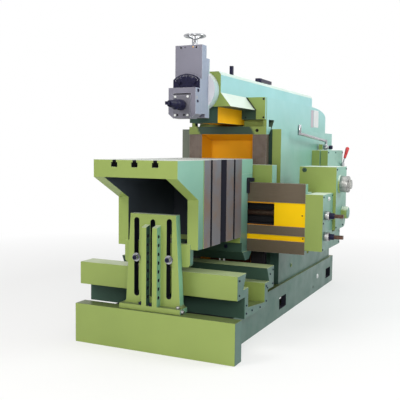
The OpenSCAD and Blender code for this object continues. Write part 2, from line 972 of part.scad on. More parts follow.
// A grooved pulley about the X axis at a place in (Y, Z)
module pulley(y, z, r) {
  difference() {
    rod_x(pulley_x0, pulley_x0 + pulley_w, y, z, r);
    for (i = [0 : belt_n - 1])
      difference() {
        rod_x(belt_x(i) - belt_w / 2 - groove_side, belt_x(i) + belt_w / 2 + groove_side, y, z, r + over);
        rod_x(belt_x(i) - belt_w / 2 - over, belt_x(i) + belt_w / 2 + over, y, z, r - groove_d);
      }
  }
}

// Motor on its foot inside the column
module motor() {
  x1 = motor_x0 + motor_l;
  foot_x = motor_x0 + (motor_l - motor_foot_l) / 2;
  color(mint) difference() {
    union() {
      rod_x(motor_x0, x1, motor_y, motor_z, motor_r);
      for (i = [0 : motor_fin_n - 1])
        translate([foot_x, motor_y, motor_z]) rotate([i * 360 / motor_fin_n, 0, 0])
          translate([0, -motor_fin_t / 2, 0]) cube([motor_foot_l, motor_fin_t, motor_r + motor_fin_h]);
      span(foot_x, foot_x + motor_foot_l, motor_y - motor_foot_w / 2, motor_y + motor_foot_w / 2,
        bed_h, bed_h + motor_foot_t);
      span(foot_x, foot_x + motor_foot_l, motor_y - motor_foot_w / 4, motor_y + motor_foot_w / 4,
        bed_h, motor_z);
    }
    rod_x(motor_x0 - over, motor_x0 + motor_l / 3 + over, motor_y, motor_z, motor_shaft_r + run_gap);
  }
}

// Nut of the lift screw, standing on the bed
module lift_nut() {
  color(steel) difference() {
    rod_z(bed_h, lift_nut_z, 0, lift_y, lift_nut_r);
    rod_z(bed_h - over, lift_nut_z + over, 0, lift_y, lift_r + run_gap);
  }
}

// Two ears on the bed that hold the rocker's pin
module rocker_bracket() {
  color(green) difference() {
    both_sides() span(bracket_in, pivot_hl, gear_y - bracket_w / 2, gear_y + bracket_w / 2,
      bed_h, pivot_z + bracket_h);
    rod_x(-pivot_hl - over, pivot_hl + over, gear_y, pivot_z, pivot_r + run_gap);
  }
}

module rocker_pin() {
  color(steel) rod_x(-pivot_hl, pivot_hl, gear_y, pivot_z, pivot_r);
}

// Bearing of the bull gear on the column's left wall
module gear_bearing() {
  wall_x = -column_hw + column_wall;
  color(steel) difference() {
    rod_x(wall_x, wall_x + bearing_l, gear_y, gear_z, bearing_r);
    rod_x(wall_x - over, wall_x + bearing_l + over, gear_y, gear_z, gear_shaft_r + run_gap);
  }
}

// Ram casting with dovetail sides, a keel and a hollow underside
module ram() {
  color(mint) difference() {
    union() {
      along_y(ram_y0, ram_y1) ram_section(0);
      span(-keel_hw, keel_hw, ram_y0 + keel_setback, ram_y1, keel_z, ram_way_z + over);
    }
    span(-hollow_hw, hollow_hw, hollow_y0, hollow_y1, keel_z - over, hollow_z);
    rod_y(ram_y0 - over, ram_y0 + spigot_l + over, 0, swivel_z, spigot_r + run_gap);
    rod_y(hollow_y0 - screw_seat, hollow_y0 + over, 0, ram_screw_z, ram_screw_r + run_gap);
    rod_y(hollow_y1 - over, ram_y1 + over, 0, ram_screw_z, ram_screw_r + run_gap);
    rod_z(hollow_z - over, ram_top + over, 0, adjust_y, adjust_r + run_gap);
    rod_z(hollow_z - over, ram_top + over, 0, clamp_y, clamp_r + run_gap);
  }
}

// Nut block in the ram, with the two ears that carry the link pin
module ram_nut_block() {
  hw = hollow_hw - gap;
  color(steel) difference() {
    union() {
      span(-hw, hw, link_y - block_l / 2, link_y + block_l / 2, nut_block_z, hollow_z - gap);
      both_sides() span(ear_in, hw, link_y - ear_d / 2, link_y + ear_d / 2, link_z - ear_drop,
        nut_block_z + over);
    }
    rod_y(link_y - block_l / 2 - over, link_y + block_l / 2 + over, 0, ram_screw_z, ram_screw_r + run_gap);
    rod_x(-hw - over, hw + over, link_y, link_z, link_r + run_gap);
  }
}

module link_pin() {
  color(steel) rod_x(-hollow_hw + gap, hollow_hw - gap, link_y, link_z, link_r);
}

// Square-ended shaft on the ram's top that sets where the ram works
module adjust_shaft() {
  color(dark) {
    rod_z(ram_screw_z + ram_screw_r + adjust_r, ram_top + gap + over, 0, adjust_y, adjust_r);
    rod_z(ram_top + gap, ram_top + adjust_collar_h, 0, adjust_y, adjust_collar_r);
    translate([0, adjust_y, ram_top + adjust_collar_h - over])
      rotate([0, 0, 45]) cylinder(r = adjust_r, h = adjust_h - adjust_collar_h + over, $fn = 4);
  }
}

module ram_screw() {
  color(steel) rod_y(hollow_y0 - screw_seat + over, ram_y1, 0, ram_screw_z, ram_screw_r);
}

// Flat handle that clamps the nut block to the ram
module clamp_handle() {
  color(dark) {
    rod_z(hollow_z + over, clamp_z + clamp_t, 0, clamp_y, clamp_r);
    rod_z(ram_top + gap, clamp_z + clamp_t, 0, clamp_y, clamp_hub_r);
    along_z(clamp_z, clamp_z + clamp_t) polygon([[-clamp_w / 2, clamp_y], [clamp_w / 2, clamp_y],
      [clamp_tip_w / 2, clamp_y + clamp_l], [-clamp_tip_w / 2, clamp_y + clamp_l]]);
  }
}

// Dovetail of the tool slide, drawn in (X, Y), widened by a clearance
module slide_dovetail(c) {
  polygon([[-dove_hw - c, -slide_back + over], [-dove_hw - c, -slide_back],
    [-dove_hw - dove_flare - c, -slide_back - dove_d - c],
    [dove_hw + dove_flare + c, -slide_back - dove_d - c], [dove_hw + c, -slide_back],
    [dove_hw + c, -slide_back + over]]);
}

// Swivel disc, guide block and dovetail of the tool head
module head_base() {
  color(metal) difference() {
    union() {
      rod_y(-disc_front, -disc_back, 0, swivel_z, swivel_r);
      span(-base_hw, base_hw, -slide_back, -head_back, base_z0, base_z1);
      along_z(base_z0, base_z1) slide_dovetail(0);
      rod_y(-disc_back - over, -ram_front + spigot_l, 0, swivel_z, spigot_r);
    }
    span(-groove_hw, groove_hw, -slide_front, -screw_y + groove_hw, groove_z0, groove_z1);
    rod_z(base_z0 - over, base_z1 + over, 0, -screw_y, feed_screw_r + run_gap);
  }
}

// Chrome handwheel: a dished rim on three spokes
module handwheel() {
  color(chrome) difference() {
    translate([0, -screw_y, 0]) {
      translate([0, 0, wheel_z]) rotate_extrude() translate([wheel_r, 0]) circle(rim_r);
      rod_z(base_z1 + gap, hub_z + hub_r, 0, 0, hub_r);
      for (i = [0 : spoke_n - 1])
        rotate([0, 0, i * 360 / spoke_n]) rod_between([0, 0, hub_z], [wheel_r, 0, wheel_z], spoke_r);
    }
    rod_z(base_z1 - over, hub_z - hub_r, 0, -screw_y, feed_screw_r + run_gap);
  }
}

module downfeed_screw() {
  color(steel) rod_z(base_z0 + gap, hub_z - hub_r - gap, 0, -screw_y, feed_screw_r);
}

// Tool slide with its dovetail groove
module tool_slide() {
  color(metal) difference() {
    span(-slide_w / 2, slide_w / 2, -slide_front, -slide_back - gap, slide_top - slide_l, slide_top);
    along_z(slide_top - slide_l - over, slide_top + over) slide_dovetail(gap);
    for (x = [-top_screw_x, top_screw_x])
      rod_y(-slide_front - over, -slide_front + top_screw_r, x, slide_top - top_screw_drop, top_screw_r);
  }
}

// Swivel plate behind the clapper box, with an arched top for the scale
module scale_plate() {
  color(dark) along_y(-box_back, -slide_front - gap) difference() {
    intersection() {
      clapper_outline(scale_z + scale_r);
      union() {
        translate([0, scale_z]) circle(scale_r);
        translate([-clapper_w / 2, box_z0]) square([clapper_w, scale_z - box_z0]);
      }
    }
    translate([0, clap_z]) circle(scale_in_r);
  }
}

// Nut of the down-feed screw, carried by the slide
module downfeed_nut() {
  color(steel) difference() {
    span(-feed_nut_hw, feed_nut_hw, -slide_back - dove_d - gap, -feed_nut_back, feed_nut_z,
      feed_nut_z + feed_nut_h);
    rod_z(feed_nut_z - over, feed_nut_z + feed_nut_h + over, 0, -screw_y, feed_screw_r + run_gap);
  }
}

// Front outline of the clapper box up to a given top, with clipped lower corners
module clapper_outline(top) {
  hw = clapper_w / 2;
  polygon([[-hw, top], [hw, top], [hw, box_z0 + box_clip], [hw - cheek, box_z0], [-hw + cheek, box_z0],
    [-hw, box_z0 + box_clip]]);
}

// Clapper box: two cheeks round the clapper plate, on a swivel boss
module clapper_box() {
  hw = clapper_w / 2;
  color(metal) difference() {
    union() {
      along_y(-clapper_front, -box_back) clapper_outline(box_z1);
      rod_y(-box_back - over, -slide_front - gap, 0, clap_z, clap_boss_r);
    }
    span(-hw + cheek, hw - cheek, -clapper_front - over, -pin_y + clap_t / 2 + gap, box_z0 - over,
      pocket_top);
    rod_x(-hw - over, hw + over, -pin_y, pin_z, clapper_pin_r + run_gap);
  }
}

module clapper_pin() {
  color(steel) rod_x(-clapper_w / 2, clapper_w / 2, -pin_y, pin_z, clapper_pin_r);
}

// Clapper plate, rounded behind its hinge so that it can lift
module clapper_plate() {
  color(metal) difference() {
    along_x(-clap_hw, clap_hw) union() {
      translate([-pin_y, pin_z]) circle(clap_t / 2);
      translate([-clap_front, clap_z0]) square([clap_t, pin_z - clap_z0]);
      translate([-clap_front, pin_z - over]) square([clap_t / 2, clap_top + over]);
    }
    rod_x(-clap_hw - over, clap_hw + over, -pin_y, pin_z, clapper_pin_r + 2 * run_gap);
  }
}

// Heads of the four screws on the clapper plate
module plate_screws() {
  color(chrome) for (x = [-plate_screw_x, plate_screw_x], z = plate_screw_zs)
    rod_y(-clap_front - plate_screw_h, -clap_front, x, z, plate_screw_r);
}

// Tool post with a slot for the tool and a bore for the clamp screw
module tool_post() {
  y0 = -clap_front;
  color(dark) difference() {
    translate([0, y0, post_z]) rotate([90, 0, 0]) rotate_extrude() polygon([[0, 0], [post_r, 0],
      [post_r, post_l], [post_neck_r, post_l + post_taper], [post_neck_r, post_l + post_neck_l - post_taper],
      [post_tip_r, post_l + post_neck_l], [0, post_l + post_neck_l]]);
    span(-tool_slot_w / 2, tool_slot_w / 2, y0 - post_slot_at - tool_slot_l / 2,
      y0 - post_slot_at + tool_slot_l / 2, post_z - post_r, post_z + post_r);
    rod_y(y0 - post_l - post_neck_l - over, y0 - post_slot_at, 0, post_z, post_screw_r + run_gap);
  }
}

module tool_post_screw() {
  y0 = -clap_front - post_l - post_neck_l;
  color(dark) {
    rod_y(y0 - gap, y0 - gap + post_screw_l - post_head_l, 0, post_z, post_screw_r);
    span(-post_head / 2, post_head / 2, y0 - gap - post_head_l, y0 - gap, post_z - post_head / 2,
      post_z + post_head / 2);
  }
}

// Section of the cross rail in (Y, Z)
module rail_section() {
  polygon([[0, rail_z0], [0, rail_z0 + bottom_way_h], [strip_d, rail_z0 + bottom_way_h],
    [strip_d, mid_way_z], [0, mid_way_z], [0, rail_z1], [rail_way_t, rail_z1],
    [rail_way_t, rail_z1 - lip_h], [rail_back, rail_z1 - lip_h], [rail_back, rail_z0],
    [rail_way_t + lip_groove, rail_z0], [rail_way_t + lip_groove, rail_z0 + low_lip_h],
    [rail_way_t, rail_z0 + low_lip_h], [rail_way_t, rail_z0]]);
}

// Cross rail with its ways, recess and the slide block on the column
module cross_rail() {
  color(steel) difference() {
    union() {
      along_x(-rail_hl, rail_hl) rail_section();
      span(-block_w / 2, block_w / 2, block_front, way_y - gap, rail_z0, block_top);
    }
    span(-rail_hl - over, rail_hl + over, -over, ledge, recess_z0, recess_z1);
    span(-rail_hl + recess_end, rail_hl - recess_end, ledge - over, recess_d, recess_z0 + ledge,
      recess_z1 - ledge);
    rod_x(-rail_hl + over, rail_hl + over, hand_y, traverse_z, traverse_r + run_gap);
    rod_z(rail_z0 - over, lift_z1 + over, 0, lift_y, lift_r + run_gap);
  }
}

// Keeps that hold the rail to the back of the column's ways
module rail_keeps() {
  x0 = way_ow + gap;
  color(steel) both_sides() {
    span(x0, x0 + keep_leg, way_y - gap, way_y + way_t + gap + keep_t, rail_z0 + keep_in,
      block_top - keep_in);
    span(way_ow - keep_reach, x0 + keep_leg, way_y + way_t + gap, way_y + way_t + gap + keep_t,
      rail_z0 + keep_in, block_top - keep_in);
  }
}

// Yellow plates over the two ends of the rail's recess
module rail_covers() {
  color(yellow) both_sides()
    span(rail_hl - cover_l, rail_hl, ledge - cover_t, ledge, recess_z0, recess_z1);
}

box_x1 = rail_hl + feed_box_l;

// Feed box on the rail's right end
module feed_box() {
  color(green) difference() {
    union() {
      span(rail_hl, box_x1, 0, feed_box_d, feed_box_z, feed_box_z + feed_box_h);
      span(rail_hl, box_x1, 0, feed_box_d + box_ext, feed_box_z, feed_box_z + box_ext_h);
    }
    rod_x(rail_hl - over, box_x1 + over, hand_y, traverse_z, traverse_r + run_gap);
    rod_x(box_x1 - lift_shaft_l - over, box_x1 + over, hand_y, lift_shaft_z, lift_shaft_r + run_gap);
  }
}

gearbox_x1 = gearbox_x0 + gearbox_w;

// Feed gearbox behind the feed box
module feed_gearbox() {
  y0 = feed_box_d;
  y1 = y0 + gearbox_d;
  z1 = gearbox_z + gearbox_h;
  color(green) difference() {
    union() {
      along_x(gearbox_x0, gearbox_x1) polygon(concat([[y0, gearbox_z], [y0, z1], [y1, z1]],
        [for (i = [0 : 9]) [y1 - gearbox_round + gearbox_round * cos(i * 10),
          gearbox_z + gearbox_round - gearbox_round * sin(i * 10)]]));
      rod_x(gearbox_x1 - over, gearbox_x1 + dial_flange, y0 + dial_y, gearbox_z + dial_z, dial_r + cap_edge);
    }
    rod_x(gearbox_x1 + dial_flange - dial_shaft_l, gearbox_x1 + dial_flange + over, y0 + dial_y,
      gearbox_z + dial_z, dial_shaft_r + run_gap);
  }
}

// Round cap on the gearbox's right face
module gearbox_cap() {
  color(green) translate([gearbox_x1, feed_box_d + cap_y, gearbox_z + cap_z]) rotate([0, 90, 0])
    rotate_extrude() polygon([[0, 0], [cap_r, 0], [cap_r, cap_l - cap_edge], [cap_r - cap_edge, cap_l],
      [0, cap_l]]);
}

// Collar and square end of a hand shaft outside the feed box
module hand_end(z) {
  rod_x(box_x1 + gap, box_x1 + collar_l, hand_y, z, collar_r);
  span(box_x1 + collar_l - over, box_x1 + collar_l + square_l, hand_y - square_w / 2, hand_y + square_w / 2,
    z - square_w / 2, z + square_w / 2);
}

module traverse_screw() {
  color(steel) {
    rod_x(-rail_hl + recess_end / 2, box_x1 + collar_l / 2, hand_y, traverse_z, traverse_r);
    hand_end(traverse_z);
  }
}

module lift_shaft() {
  color(steel) {
    rod_x(box_x1 - lift_shaft_l, box_x1 + collar_l / 2, hand_y, lift_shaft_z, lift_shaft_r);
    hand_end(lift_shaft_z);
  }
}

module lift_screw() {
  color(steel) rod_z(lift_z0, lift_z1, 0, lift_y, lift_r);
}

// Feed dial with a fluted knob
module feed_dial() {
  y = feed_box_d + dial_y;
  z = gearbox_z + dial_z;
  x0 = gearbox_x1 + dial_flange + gap;
  color(chrome) difference() {
    union() {
      rod_x(x0 - dial_shaft_l + gap + over, x0 + over, y, z, dial_shaft_r);
      rod_x(x0, x0 + dial_l, y, z, dial_r);
      rod_x(x0 + dial_l - over, x0 + dial_l + dial_knob_l, y, z, dial_knob_r);
    }
    for (i = [0 : dial_flute_n - 1])
      translate([0, y, z]) rotate([i * 360 / dial_flute_n, 0, 0])
        rod_x(x0 + dial_l, x0 + dial_l + dial_knob_l + over, dial_knob_r, 0, dial_flute_r);
  }
}

// A T-slot along Y in the table's top
module tee_slot(x) {
  span(x - neck_w / 2, x + neck_w / 2, -table_front - over, saddle_back + over, table_top - neck_h - over,
    table_top + over);
  span(x - tee_w / 2, x + tee_w / 2, -table_front - over, saddle_back + over, table_top - neck_h - tee_h,
    table_top - neck_h);
}

// A vertical T-slot in the table's right side
module side_slot(y) {
  face = table_x1 + pad_t;
  span(face - side_slot_d, face + over, y - side_slot_w / 2, y + side_slot_w / 2, table_z - over,
    table_top + over);
  span(face - side_slot_d - side_tee_d, face - side_slot_d, y - side_tee_w / 2, y + side_tee_w / 2,
    table_z - over, plate_z - over);
}

// Front outline of the table's lug plate, with round lower corners
module lug_outline() {
  translate([-table_shift, 0]) polygon(concat([[lug_hw, lug_z1], [-lug_hw, lug_z1]],
    [for (i = [0 : 6]) [-lug_hw, lug_z0] + lug_r * [1 - cos(i * 15), 1 - sin(i * 15)]],
    [for (i = [0 : 6]) [lug_hw, lug_z0] + lug_r * [sin(i * 15) - 1, 1 - cos(i * 15)]]));
}

// Box table, open in front and below, with its lug plate for the support
module table() {
  face = table_x1 + pad_t;
  color(green) difference() {
    union() {
      span(table_x0, table_x1, -table_front, saddle_back, plate_z, table_top);
      for (x = [table_x0, table_x1 - table_wall])
        along_x(x, x + table_wall) polygon([[-table_front, plate_z + over], [-saddle_t, plate_z + over],
          [-saddle_t, table_z], [-body_front, table_z], [-body_front, plate_z - side_drop],
          [-table_front, plate_z]]);
      span(table_x0, table_x1, -saddle_t - rear_wall, -saddle_t, table_z, plate_z + over);
      along_y(-support_back + gap, -support_back + gap + lug_t) lug_outline();
      span(table_x1 - over, face, pad_y0, pad_y1, table_z, table_top);
    }
    for (i = [-1 : 1]) tee_slot(-table_shift + i * slot_pitch);
    for (y = side_slot_ys) side_slot(y);
    along_z(table_z - over, table_top + over) polygon([[face + over, vee_y - vee_hw - over],
      [face + over, vee_y + vee_hw + over], [face - vee_hw, vee_y]]);
    for (s = [-1, 1])
      rod_y(-support_back, -support_back + lug_t + over, -table_shift + s * long_slot_x, bolt_z,
        clamp_bolt_r + run_gap);
  }
}

// Saddle between the table and the rail
module saddle() {
  color(green) along_x(table_x0, table_x1) polygon([[-saddle_t, plate_z], [saddle_back, plate_z],
    [saddle_back, rail_z1 + gap], [-gap, rail_z1 + gap], [-gap, rail_z0 - gap],
    [saddle_step_y, rail_z0 - gap], [saddle_step_y, saddle_step_z], [-saddle_t, saddle_step_z]]);
}

// Keep behind the rail's top way
module upper_keep() {
  color(steel) span(table_x0, table_x1, rail_way_t + gap, lip_back, upper_lip_z, rail_z1 + gap);
}

// Keep under and behind the rail's bottom way, with a hanging tail
module lower_keep() {
  color(green) along_x(table_x0, table_x1) polygon([[-tail_front, tail_z], [low_keep_y, rail_z0 - gap],
    [rail_way_t + gap, rail_z0 - gap], [rail_way_t + gap, low_lip_z], [lip_back, low_lip_z],
    [lip_back, low_keep_z], [tail_back, tail_z]]);
}

// Nut of the traverse screw, on the saddle's rear face
module traverse_nut() {
  color(steel) difference() {
    span(-table_shift - nut_hw, -table_shift + nut_hw, -gap, nut_back, traverse_z - nut_h / 2,
      traverse_z + nut_h / 2);
    rod_x(-table_shift - nut_hw - over, -table_shift + nut_hw + over, hand_y, traverse_z,
      traverse_r + run_gap);
  }
}

// Two bolts with washers that clamp the table to its support
module lug_bolts() {
  y0 = -support_front - gap;
  color(chrome) for (s = [-1, 1]) {
    x = -table_shift + s * long_slot_x;
    rod_y(y0 - over, -support_back + lug_t, x, bolt_z, clamp_bolt_r);
    rod_y(y0 - washer_t, y0, x, bolt_z, washer_r);
    rod_y(y0 - washer_t - bolt_head_l, y0 - washer_t + over, x, bolt_z, bolt_head_r);
  }
}

// One rib of the support, with its sloped top
module support_rib() {
  along_x(rib_in, rib_in + rib_t) polygon([[-support_front + over, foot_z], [-foot_front, foot_z],
    [-foot_front, rib_top - rib_slope], [-support_front + over, rib_top]]);
}

// Front outline of the support plate, flared into its foot
module plate_outline() {
  flare = foot_hw - support_foot_hw;
  z0 = foot_z + foot_t;
  right = [for (i = [0 : 6]) [foot_hw, z0] + flare * [-sin(i * 15), 1 - cos(i * 15)]];
  left = [for (i = [6 : -1 : 0]) [-foot_hw, z0] + flare * [sin(i * 15), 1 - cos(i * 15)]];
  polygon(concat([[-foot_hw, z0 - over], [foot_hw, z0 - over]], right,
    [[support_top_hw, support_top], [-support_top_hw, support_top]], left));
}

// Slotted support under the table's front, sliding on the base's beam
module support_bracket() {
  rib_step = (rib_top - rib_slope - foot_z - foot_t) / (rib_hole_n + 1);
  color(green) translate([support_x, 0, 0]) difference() {
    union() {
      along_y(-support_front, -support_back) plate_outline();
      span(-foot_hw, foot_hw, -foot_front, -support_back, foot_z, foot_z + foot_t);
      both_sides() support_rib();
    }
    for (s = [-1, 1])
      slot_cut(s * long_slot_x, long_slot_w / 2, slot_z0, slot_z1, -support_front - over,
        -support_back + over);
    slot_cut(0, mid_slot_hw, slot_z0, mid_slot_z1, -support_front - over, -support_back + over);
    for (i = [1 : rib_hole_n])
      rod_x(-rib_in - rib_t - over, rib_in + rib_t + over, -(support_front + foot_front) / 2,
        foot_z + foot_t + i * rib_step, rib_hole_r);
  }
}

// Bolt heads on the support's foot
module foot_bolts() {
  color(steel) translate([support_x, 0, 0]) for (x = foot_bolt_xs)
    rod_z(foot_z + foot_t, foot_z + foot_t + foot_head_h, x, -foot_bolt_y, foot_head_r);
}

speed_pivot = [column_hw + lever_box_w + speed_hub_w / 2, speed_y, speed_z];

// Speed lever on the lever box
module speed_lever() {
  x1 = column_hw + lever_box_w;
  color(chrome) {
    rod_x(x1 - lever_box_wall, x1 + speed_hub_w / 2, speed_y, speed_z, speed_shaft_r);
    rod_x(x1 + gap, x1 + speed_hub_w, speed_y, speed_z, speed_hub_r);
    rod_between(speed_pivot, speed_pivot + speed_tip, speed_rod_r);
  }
}

// Red grip on the speed lever, widening to its rounded head
module lever_grip() {
  run = norm([speed_lean_x, speed_lean_y]);
  color("#c8252c") translate(speed_pivot + speed_tip)
    rotate([0, atan2(run, speed_lean_z), atan2(speed_lean_y, speed_lean_x)]) rotate_extrude() polygon([[0, 0],
      [speed_grip_r, 0], [speed_head_r, speed_grip_l - speed_grip_round],
      [speed_head_r - speed_grip_round, speed_grip_l], [0, speed_grip_l]]);
}

// Long clutch lever along the column's right side
module clutch_lever() {
  hub_x = clutch_x - clutch_hub_w / 2;
  color(chrome) {
    rod_x(column_hw + stand_in + over, clutch_end, clutch_y, clutch_z, clutch_shaft_r);
    rod_x(hub_x, hub_x + clutch_hub_w, clutch_y, clutch_z, clutch_hub_r);
    rod_z(clutch_z, arm_z + lever_r, clutch_x, clutch_y, lever_r);
    rod_between([clutch_x, clutch_y, arm_z], [clutch_x, arm_y, arm_tip_z], lever_r);
    rod_z(arm_tip_z - lever_r, arm_tip_z + arm_grip_h, clutch_x, arm_y, arm_grip_r);
  }
}

// Outline of a spur gear with straight-sided teeth
module gear_outline(n, m) {
  pitch = 360 / n;
  root = m * (n / 2 - root_share);
  tip = m * (n / 2 + tip_share);
  polygon([for (i = [0 : n - 1], p = [[root, -root_w_share], [tip, -tip_w_share], [tip, tip_w_share],
    [root, root_w_share]]) p[0] * [cos((i + p[1]) * pitch), sin((i + p[1]) * pitch)]]);
}

// Bull gear with its shaft
module bull_gear() {
  color(steel) difference() {
    union() {
      along_x(bull_x0, bull_x1) translate([gear_y, gear_z]) gear_outline(bull_n, gear_module);
      rod_x(bull_x0 - pulley_gap, bull_x0 + over, gear_y, gear_z, bull_hub_r);
      rod_x(-column_hw + column_wall + over, bull_x0, gear_y, gear_z, gear_shaft_r);
    }
    for (i = [0 : bull_hole_n - 1])
      translate([0, gear_y, gear_z]) rotate([(i + 0.5) * 360 / bull_hole_n, 0, 0])
        rod_x(bull_x0 - over, bull_x1 + over, bull_hole_at, 0, bull_hole_r);
  }
}

// Crank block and pin on the bull gear's face
module crank_block() {
  z = gear_z + crank_r;
  color(steel) {
    span(bull_x1, bull_x1 + crank_block_t / 2, gear_y - crank_block_w / 2, gear_y + crank_block_w / 2,
      z - crank_block_w / 2, z + crank_block_w / 2);
    rod_x(bull_x1, -rocker_hw - crank_gap, gear_y, z, crank_pin_r);
  }
}

// Pinion on the driven shaft
module pinion_shaft() {
  color(steel) {
    along_x(bull_x0, bull_x1) translate([pinion_y, gear_z]) rotate(180 / pinion_n)
      gear_outline(pinion_n, gear_module);
    rod_x(pulley_x0, bull_x0 + over, pinion_y, gear_z, pinion_shaft_r);
  }
}

module driven_pulley() {
  color(steel) difference() {
    pulley(pinion_y, gear_z, driven_r);
    rod_x(pulley_x0 - over, pulley_x0 + pulley_w + over, pinion_y, gear_z, pinion_shaft_r + 2 * run_gap);
  }
}

// Motor pulley with the motor's shaft
module motor_pulley() {
  color(steel) {
    pulley(motor_y, motor_z, driver_r);
    rod_x(pulley_x0 + pulley_w - over, motor_x0 + motor_l / 3, motor_y, motor_z, motor_shaft_r);
  }
}

// Rocker arm, leaning back as the ram stands at rest
module rocker_arm() {
  color(steel) translate([0, gear_y, pivot_z]) rotate([-rocker_rest, 0, 0]) along_x(-rocker_hw, rocker_hw)
    difference() {
      union() {
        circle(rocker_boss_r);
        polygon([[-rocker_foot_hw, 0], [rocker_foot_hw, 0], [rocker_top_hw, rocker_tip],
          [-rocker_top_hw, rocker_tip]]);
      }
      circle(pivot_r + run_gap);
      translate([-fork_hw, fork_z]) square([2 * fork_hw, rocker_tip - fork_z + over]);
      translate([-crank_slot_hw / 2, gear_z - pivot_z - crank_r - crank_slot_over])
        square([crank_slot_hw, 2 * (crank_r + crank_slot_over)]);
    }
}

base();
chip_trough();
column();
guide_plates();
rear_cover();
lever_box();
belt_guard();
belts();
motor();
lift_nut();
rocker_bracket();
rocker_pin();
gear_bearing();
ram();
ram_nut_block();
link_pin();
adjust_shaft();
ram_screw();
clamp_handle();
head_base();
handwheel();
downfeed_screw();
tool_slide();
scale_plate();
downfeed_nut();
clapper_box();
clapper_pin();
clapper_plate();
plate_screws();
tool_post();
tool_post_screw();
cross_rail();
rail_keeps();
rail_covers();
feed_box();
feed_gearbox();
gearbox_cap();
traverse_screw();
lift_shaft();
lift_screw();
feed_dial();
table();
saddle();
upper_keep();
lower_keep();
traverse_nut();
lug_bolts();
support_bracket();
foot_bolts();
speed_lever();
lever_grip();
clutch_lever();
bull_gear();
crank_block();
pinion_shaft();
driven_pulley();
motor_pulley();
rocker_arm();
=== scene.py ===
import math

import bmesh
import bpy
from mathutils import Matrix, Vector


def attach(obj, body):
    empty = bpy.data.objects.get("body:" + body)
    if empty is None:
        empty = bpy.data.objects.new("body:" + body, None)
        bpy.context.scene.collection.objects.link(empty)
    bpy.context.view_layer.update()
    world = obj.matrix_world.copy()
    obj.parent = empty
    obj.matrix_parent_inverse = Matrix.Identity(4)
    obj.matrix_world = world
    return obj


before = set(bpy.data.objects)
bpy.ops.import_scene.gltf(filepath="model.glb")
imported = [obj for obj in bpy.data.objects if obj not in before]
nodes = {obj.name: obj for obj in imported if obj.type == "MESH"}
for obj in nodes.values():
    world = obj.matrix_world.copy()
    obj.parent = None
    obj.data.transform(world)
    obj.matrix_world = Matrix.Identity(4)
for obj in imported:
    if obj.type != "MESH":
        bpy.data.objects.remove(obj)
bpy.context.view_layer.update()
scene = bpy.context.scene
scene.view_settings.view_transform = "Standard"

X, Y, Z = Vector((1, 0, 0)), Vector((0, 1, 0)), Vector((0, 0, 1))
BOTH = (-1, 1)


# Shader helpers
def new_mat(name, base, rough, metal=0.0):
    m = bpy.data.materials.new(name)
    m.use_nodes = True
    b = m.node_tree.nodes["Principled BSDF"]
    b.inputs["Base Color"].default_value = (*base, 1)
    b.inputs["Roughness"].default_value = rough
    b.inputs["Metallic"].default_value = metal
    return m, m.node_tree, b


def node(nt, kind, **sets):
    n = nt.nodes.new(kind)
    for k, v in sets.items():
        setattr(n, k, v)
    return n


def val(nt, op, a, b=None):
    """A step of arithmetic on sockets or numbers."""
    n = node(nt, "ShaderNodeMath", operation=op)
    for i, x in enumerate((a, b)):
        if x is None:
            continue
        if hasattr(x, "links"):
            nt.links.new(x, n.inputs[i])
        else:
            n.inputs[i].default_value = x
    return n.outputs[0]


def mix_col(nt, fac, a, b, blend="MIX"):
    """A mix of two colours, each a socket or a tuple."""
    n = node(nt, "ShaderNodeMix", data_type="RGBA", blend_type=blend)
    for sock, x in ((n.inputs[0], fac), (n.inputs[6], a), (n.inputs[7], b)):
        if hasattr(x, "links"):
            nt.links.new(x, sock)
        elif isinstance(x, tuple):
            sock.default_value = (*x, 1)
        else:
            sock.default_value = x
    return n.outputs[2]


def coords(nt, out="Object"):
    return node(nt, "ShaderNodeTexCoord").outputs[out]


def split(nt, out="Object"):
    """The X, Y and Z of a texture coordinate."""
    n = node(nt, "ShaderNodeSeparateXYZ")
    nt.links.new(coords(nt, out), n.inputs[0])
    return n.outputs


def noise(nt, scale, detail=3.0, rough=0.5, vec=None):
    n = node(nt, "ShaderNodeTexNoise")
    n.inputs["Scale"].default_value = scale
    n.inputs["Detail"].default_value = detail
    n.inputs["Roughness"].default_value = rough
    nt.links.new(vec or coords(nt), n.inputs["Vector"])
    return n.outputs["Fac"]


def stretch(nt, scales):
    n = node(nt, "ShaderNodeMapping")
    n.inputs["Scale"].default_value = scales
    nt.links.new(coords(nt), n.inputs["Vector"])
    return n.outputs["Vector"]


def ramp(nt, fac, span, low=0.0, high=1.0):
    """Runs from low to high while the factor crosses the span."""
    n = node(nt, "ShaderNodeMapRange", clamp=True)
    nt.links.new(fac, n.inputs[0])
    for i, x in enumerate((*span, low, high)):
        n.inputs[i + 1].default_value = x
    return n.outputs[0]


def bump(nt, bsdf, height, strength, dist):
    n = node(nt, "ShaderNodeBump")
    n.inputs["Strength"].default_value = strength
    n.inputs["Distance"].default_value = dist
    nt.links.new(height, n.inputs["Height"])
    nt.links.new(n.outputs[0], bsdf.inputs["Normal"])


def edge_mask(nt):
    """1 along sharp edges, 0 on flats."""
    bev = node(nt, "ShaderNodeBevel", samples=4)
    bev.inputs["Radius"].default_value = EDGE_WEAR
    geo = node(nt, "ShaderNodeNewGeometry")
    dot = node(nt, "ShaderNodeVectorMath", operation="DOT_PRODUCT")
    nt.links.new(bev.outputs[0], dot.inputs[0])
    nt.links.new(geo.outputs["Normal"], dot.inputs[1])
    return ramp(nt, dot.outputs["Value"], (0.80, 0.99), 1.0, 0.0)


def seen_ray(nt):
    """1 for rays that show the studio: straight, mirrored or through glass."""
    lp = node(nt, "ShaderNodeLightPath")
    bent = val(nt, "MAXIMUM", lp.outputs["Is Glossy Ray"], lp.outputs["Is Transmission Ray"])
    return val(nt, "MAXIMUM", lp.outputs["Is Camera Ray"], bent)


def scaled(colour, by):
    return tuple(c * by for c in colour)


